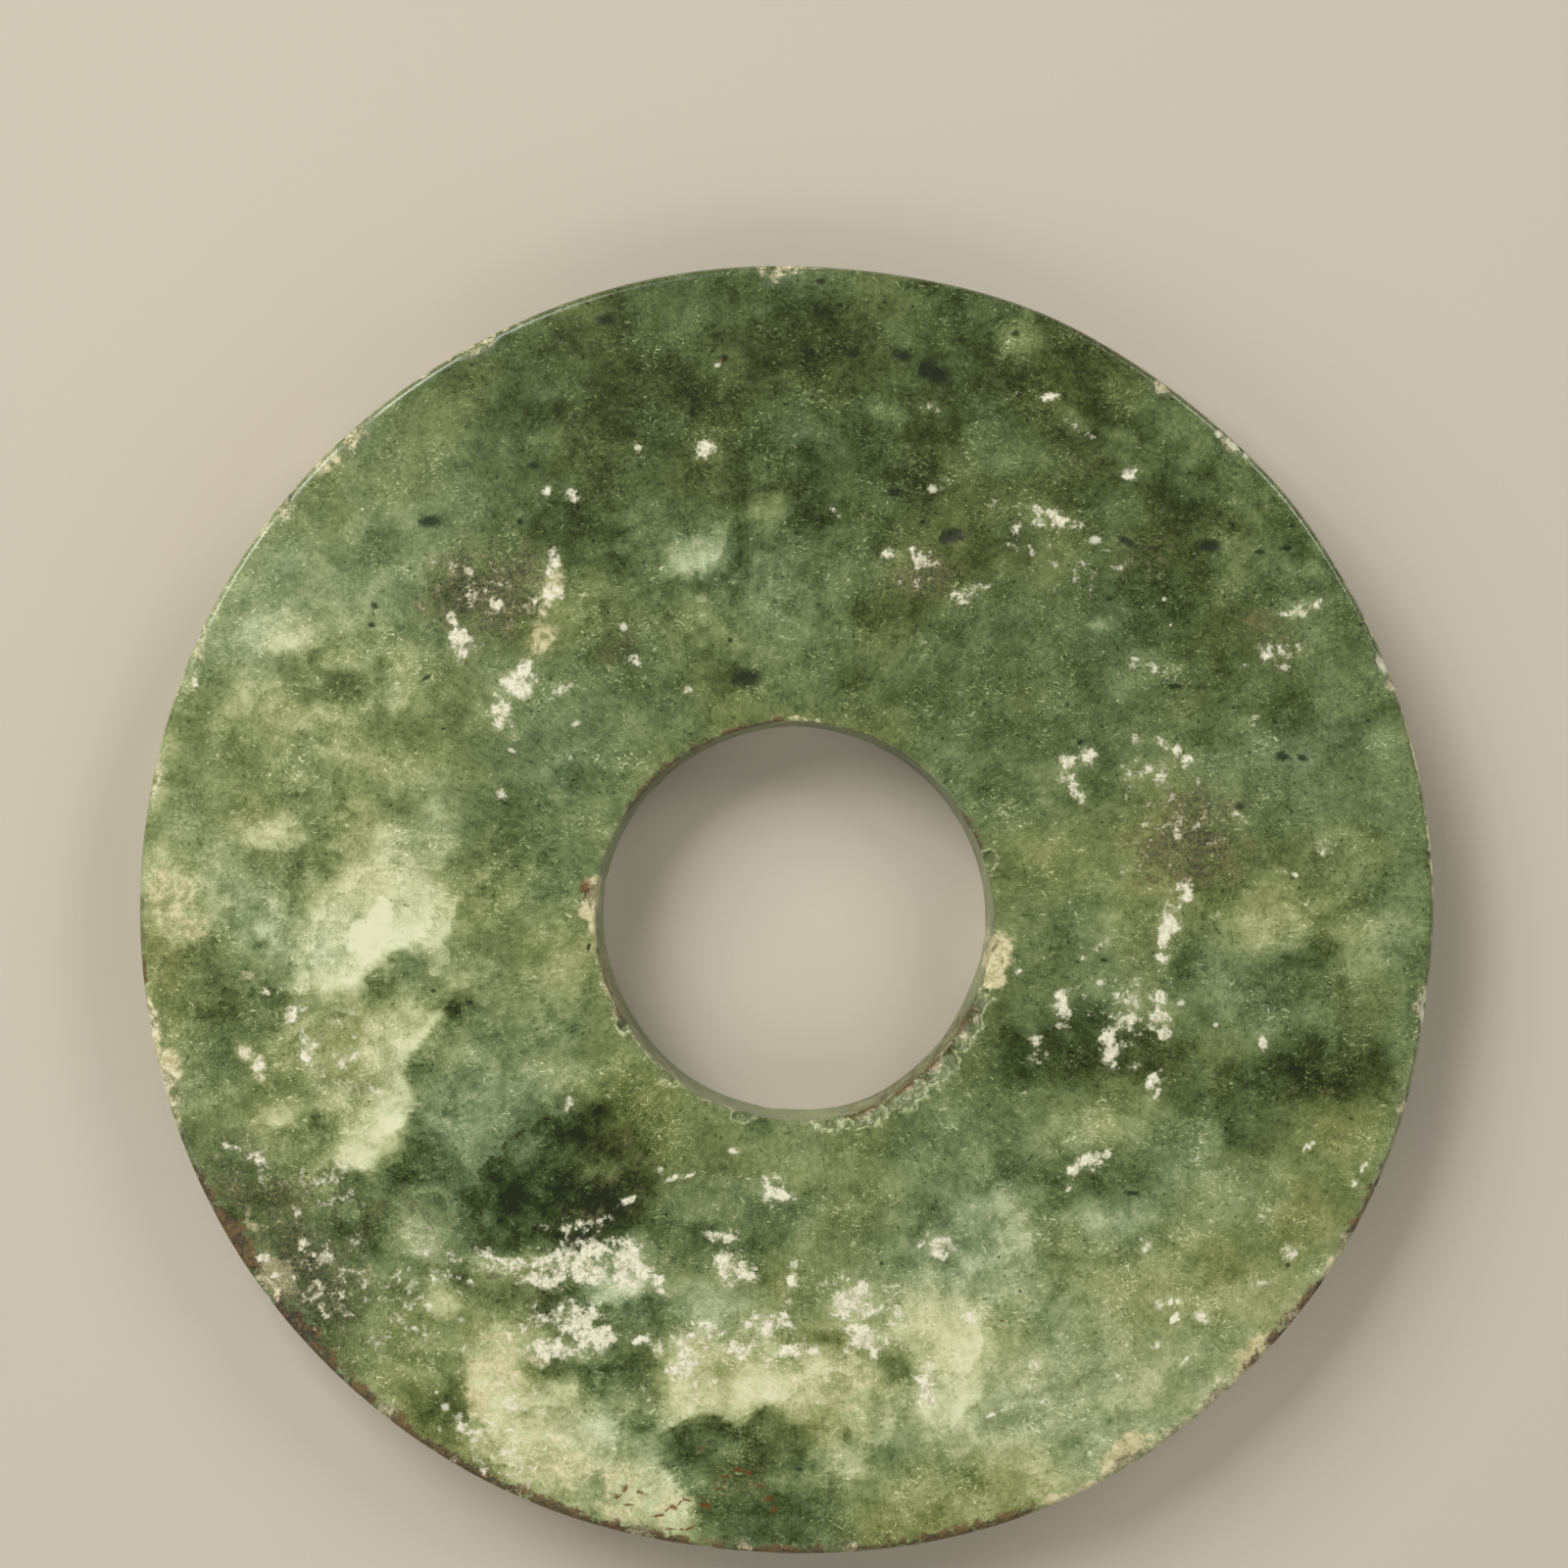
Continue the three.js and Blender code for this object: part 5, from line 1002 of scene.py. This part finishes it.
# The powdery grain that shows all over, with dark specks where it dips deepest. It too is
# drawn coarser than it is.
POWDER_SIZE = 0.42
POWDER_SWAY = 0.27
SPECK_STARTS = 0.31
SPECK_WHOLE = 0.26
SPECK_DARKENING = 0.16
powder = node(tree, grain, {"Vector": in_mm, "Scale": 1 / POWDER_SIZE, "Detail": 2})[0]
off = node(tree, calc, {0: powder, 1: -0.5}, operation="ADD")[0]
light = node(tree, calc, {0: off, 1: POWDER_SWAY, 2: light}, operation="MULTIPLY_ADD")[0]
dip = {"Value": powder, "From Min": SPECK_STARTS, "From Max": SPECK_WHOLE}
speck = node(tree, "ShaderNodeMapRange", dip)[0]
light = node(tree, calc, {0: speck, 1: -SPECK_DARKENING, 2: light}, operation="MULTIPLY_ADD")[0]

# Lightness picks the green, and a slow drift and the tinted places pick how olive it is.
HUE_DRIFT_SIZE = 14
HUE_DRIFT = 1.7
HUE_START = -0.35
TINT_PULL = 0.6
painted = []
for picked_by, colours in (
    (light, COOL_GREENS),
    (light, OLIVE_GREENS),
    (field["mark_kind"], MARK_COLOURS),
):
    ramp = node(tree, "ShaderNodeValToRGB", {0: picked_by})
    stops = ramp[0].node.color_ramp.elements
    while len(stops) < len(colours):
        stops.new(0.5)
    for stop, (at, hex_colour) in zip(stops, colours):
        stop.position = at
        stop.color = linear(hex_colour)
    painted.append(ramp[0])
cool, olive, mark_colour = painted
drift = node(tree, grain, {"Vector": in_mm, "Scale": 1 / HUE_DRIFT_SIZE, "Detail": 3})[0]
drifting = node(tree, calc, {0: drift, 1: HUE_DRIFT, 2: HUE_START}, operation="MULTIPLY_ADD")[0]
tinted = {0: field["tint"], 1: TINT_PULL, 2: drifting}
how_olive = node(tree, calc, tinted, operation="MULTIPLY_ADD", use_clamp=True)[0]
colour = node(tree, "ShaderNodeMix", {0: how_olive, 6: cool, 7: olive}, data_type="RGBA")[2]

# Deposits over the stone, lowest first: which, two colours, how ragged, where it starts and
# is whole, and how well it covers. One grit frays them all, since it is the grain of the dirt.
DEPOSITS = [
    # The cream deposit also draws the painted highlight along the right rim.
    ("cream_and_highlight", "#B8AD7C", "#E2D8AC", 3.4, 0.36, 0.80, 0.88),
    ("earth", "#101200", "#69652C", 4.0, 0.30, 0.85, 0.8),
    ("rim_soil", "#1A1203", "#6C5120", 4.0, 0.32, 0.66, 0.94),
    ("scar", "#7C7648", "#E0D8B0", 2.4, 0.42, 0.80, 0.9),
    ("crust", "#B4AF8A", "#EFEAD0", 4.8, 0.40, 0.78, 0.95),
]
GRIT_SIZE = 1.8
SPECKLE_GRIT = 1.5
SPECKLE_DARK = 1.05
SPECKLE_PALE = 1.45
grit = node(tree, grain, {"Vector": in_mm, "Scale": 1 / GRIT_SIZE, "Detail": 4, "Roughness": 0.72})[0]
push = node(tree, calc, {0: grit, 1: -0.5}, operation="ADD")[0]
both = node(tree, calc, {0: grit, 1: SPECKLE_GRIT, 2: powder}, operation="MULTIPLY_ADD")[0]
mottle = {"Value": both, "From Min": SPECKLE_DARK, "From Max": SPECKLE_PALE}
speckle = node(tree, "ShaderNodeMapRange", mottle)[0]
cover = {}
for name, deep_hex, pale_hex, ragged, start, whole, opacity in DEPOSITS:
    sway = node(tree, calc, {0: field[name], 1: 0.5}, operation="POWER")[0]
    sway = node(tree, calc, {0: sway, 1: ragged}, operation="MULTIPLY")[0]
    amount = node(tree, calc, {0: push, 1: sway, 2: field[name]}, operation="MULTIPLY_ADD")[0]
    laid = {"Value": amount, "From Min": start, "From Max": whole, "To Max": opacity}
    cover[name] = node(tree, "ShaderNodeMapRange", laid)[0]
    dirt = {0: speckle, 6: linear(deep_hex), 7: linear(pale_hex)}
    paint = node(tree, "ShaderNodeMix", dirt, data_type="RGBA")[2]
    colour = node(tree, "ShaderNodeMix", {0: cover[name], 6: colour, 7: paint}, data_type="RGBA")[2]

# Ink-dark grains, rust and white dots, each drawn in its own frame.
MARK_FRAY_SIZE = 0.5
MARK_FRAY = 1.3
MARK_ENDS = 2.3
MARK_WHOLE = 1.35
MARK_OPACITY = 0.85
own_place = node(tree, attribute, attribute_type="GEOMETRY", attribute_name="mark")["Vector"]
reach = node(tree, "ShaderNodeVectorMath", {0: own_place}, operation="LENGTH")["Value"]
fray = node(tree, grain, {"Vector": in_mm, "Scale": 1 / MARK_FRAY_SIZE, "Detail": 2})[0]
reach = node(tree, calc, {0: fray, 1: MARK_FRAY, 2: reach}, operation="MULTIPLY_ADD")[0]
drawn = {"Value": reach, "From Min": MARK_ENDS, "From Max": MARK_WHOLE, "To Max": MARK_OPACITY}
drawn = node(tree, "ShaderNodeMapRange", drawn)[0]
colour = node(tree, "ShaderNodeMix", {0: drawn, 6: colour, 7: mark_colour}, data_type="RGBA")[2]

# Polish: waxy where the stone is bare, shinier on the handled edge, dull under a deposit.
WAXY = 0.32
HANDLED = -0.18
CHALKY = 0.9
EARTH_DULLING = 0.5
dull = node(tree, calc, {0: cover["earth"], 1: cover["rim_soil"]}, operation="MAXIMUM")[0]
dull = node(tree, calc, {0: dull, 1: EARTH_DULLING, 2: cover["crust"]}, operation="MULTIPLY_ADD")[0]
dull = node(tree, calc, {0: dull, 1: field["scar"]}, operation="MAXIMUM")[0]
sheen = node(tree, calc, {0: field["shine"], 1: HANDLED, 2: WAXY}, operation="MULTIPLY_ADD")[0]
roughness = node(tree, "ShaderNodeMapRange", {"Value": dull, "To Min": sheen, "To Max": CHALKY})[0]

# Roughness to the touch: fine pits, deepest in crust and scars.
PIT_SIZE = 0.35
PIT_DEPTH = 0.18
EARTH_PITS = 0.5
BARE_PITS = 0.12
uneven = node(tree, calc, {0: field["crust"], 1: field["scar"]}, operation="MAXIMUM")[0]
uneven = node(tree, calc, {0: field["earth"], 1: EARTH_PITS, 2: uneven}, operation="MULTIPLY_ADD")[0]
uneven = node(tree, calc, {0: uneven, 1: BARE_PITS}, operation="ADD")[0]
fine = node(tree, grain, {"Vector": in_mm, "Scale": 1 / PIT_SIZE, "Detail": 2})[0]
relief = node(tree, calc, {0: fine, 1: uneven}, operation="MULTIPLY")[0]
bump = node(tree, "ShaderNodeBump", {"Height": relief, "Strength": 0.6, "Distance": PIT_DEPTH * MM})[0]
shader = node(
    tree,
    "ShaderNodeBsdfPrincipled",
    {
        "Base Color": colour,
        "Roughness": roughness,
        "IOR": 1.61,
        "Normal": bump,
        "Subsurface Weight": 0.1,
        "Subsurface Radius": (1.0, 1.2, 0.7),
        "Subsurface Scale": 0.8 * MM,
    },
)
node(tree, "ShaderNodeOutputMaterial", {"Surface": shader[0]})

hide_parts("bi_disc")
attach(ring, "root")


# The floor: a plain pale sheet, only there to lie on.
FLOOR_REACH = 3.0
floor_mesh = bpy.data.meshes.new("floor")
floor_corners = [(x * FLOOR_REACH, y * FLOOR_REACH, 0) for x, y in ((-1, -1), (1, -1), (1, 1), (-1, 1))]
floor_mesh.from_pydata(floor_corners, [], [(0, 1, 2, 3)])
floor = bpy.data.objects.new("floor", floor_mesh)
bpy.context.scene.collection.objects.link(floor)
paper = bpy.data.materials.new("matt_paper")
paper.use_nodes = True
paper_shader = paper.node_tree.nodes["Principled BSDF"]
paper_shader.inputs["Base Color"].default_value = linear("#C8BEAD")
paper_shader.inputs["Roughness"].default_value = 0.9
floor_mesh.materials.append(paper)

# The light: one large soft lamp from the upper left, weak ones on the other three sides, and
# soft air. None stands over the face, so its waxy sheen doesn't veil the colour of the stone.
LAMPS = [
    ("key", (-0.7, 0.75, 0.88), 0.8, 16.2),
    ("right", (0.8, 0.7, 0.85), 0.5, 4.4),
    ("low_right", (0.8, -0.7, 0.85), 0.9, 4.4),
    ("low_left", (-0.8, -0.7, 0.85), 0.9, 4.4),
]
for name, place, width, watts in LAMPS:
    lamp_data = bpy.data.lights.new(name, "AREA")
    lamp_data.energy = watts
    lamp_data.size = width
    lamp = bpy.data.objects.new(name, lamp_data)
    lamp.location = place
    lamp.rotation_euler = (-Vector(place)).to_track_quat("-Z", "Y").to_euler()
    bpy.context.scene.collection.objects.link(lamp)
world = bpy.data.worlds.new("soft_air")
world.use_nodes = True
world.node_tree.nodes["Background"].inputs["Color"].default_value = linear("#F2EEE6")
world.node_tree.nodes["Background"].inputs["Strength"].default_value = 0.1
bpy.context.scene.world = world
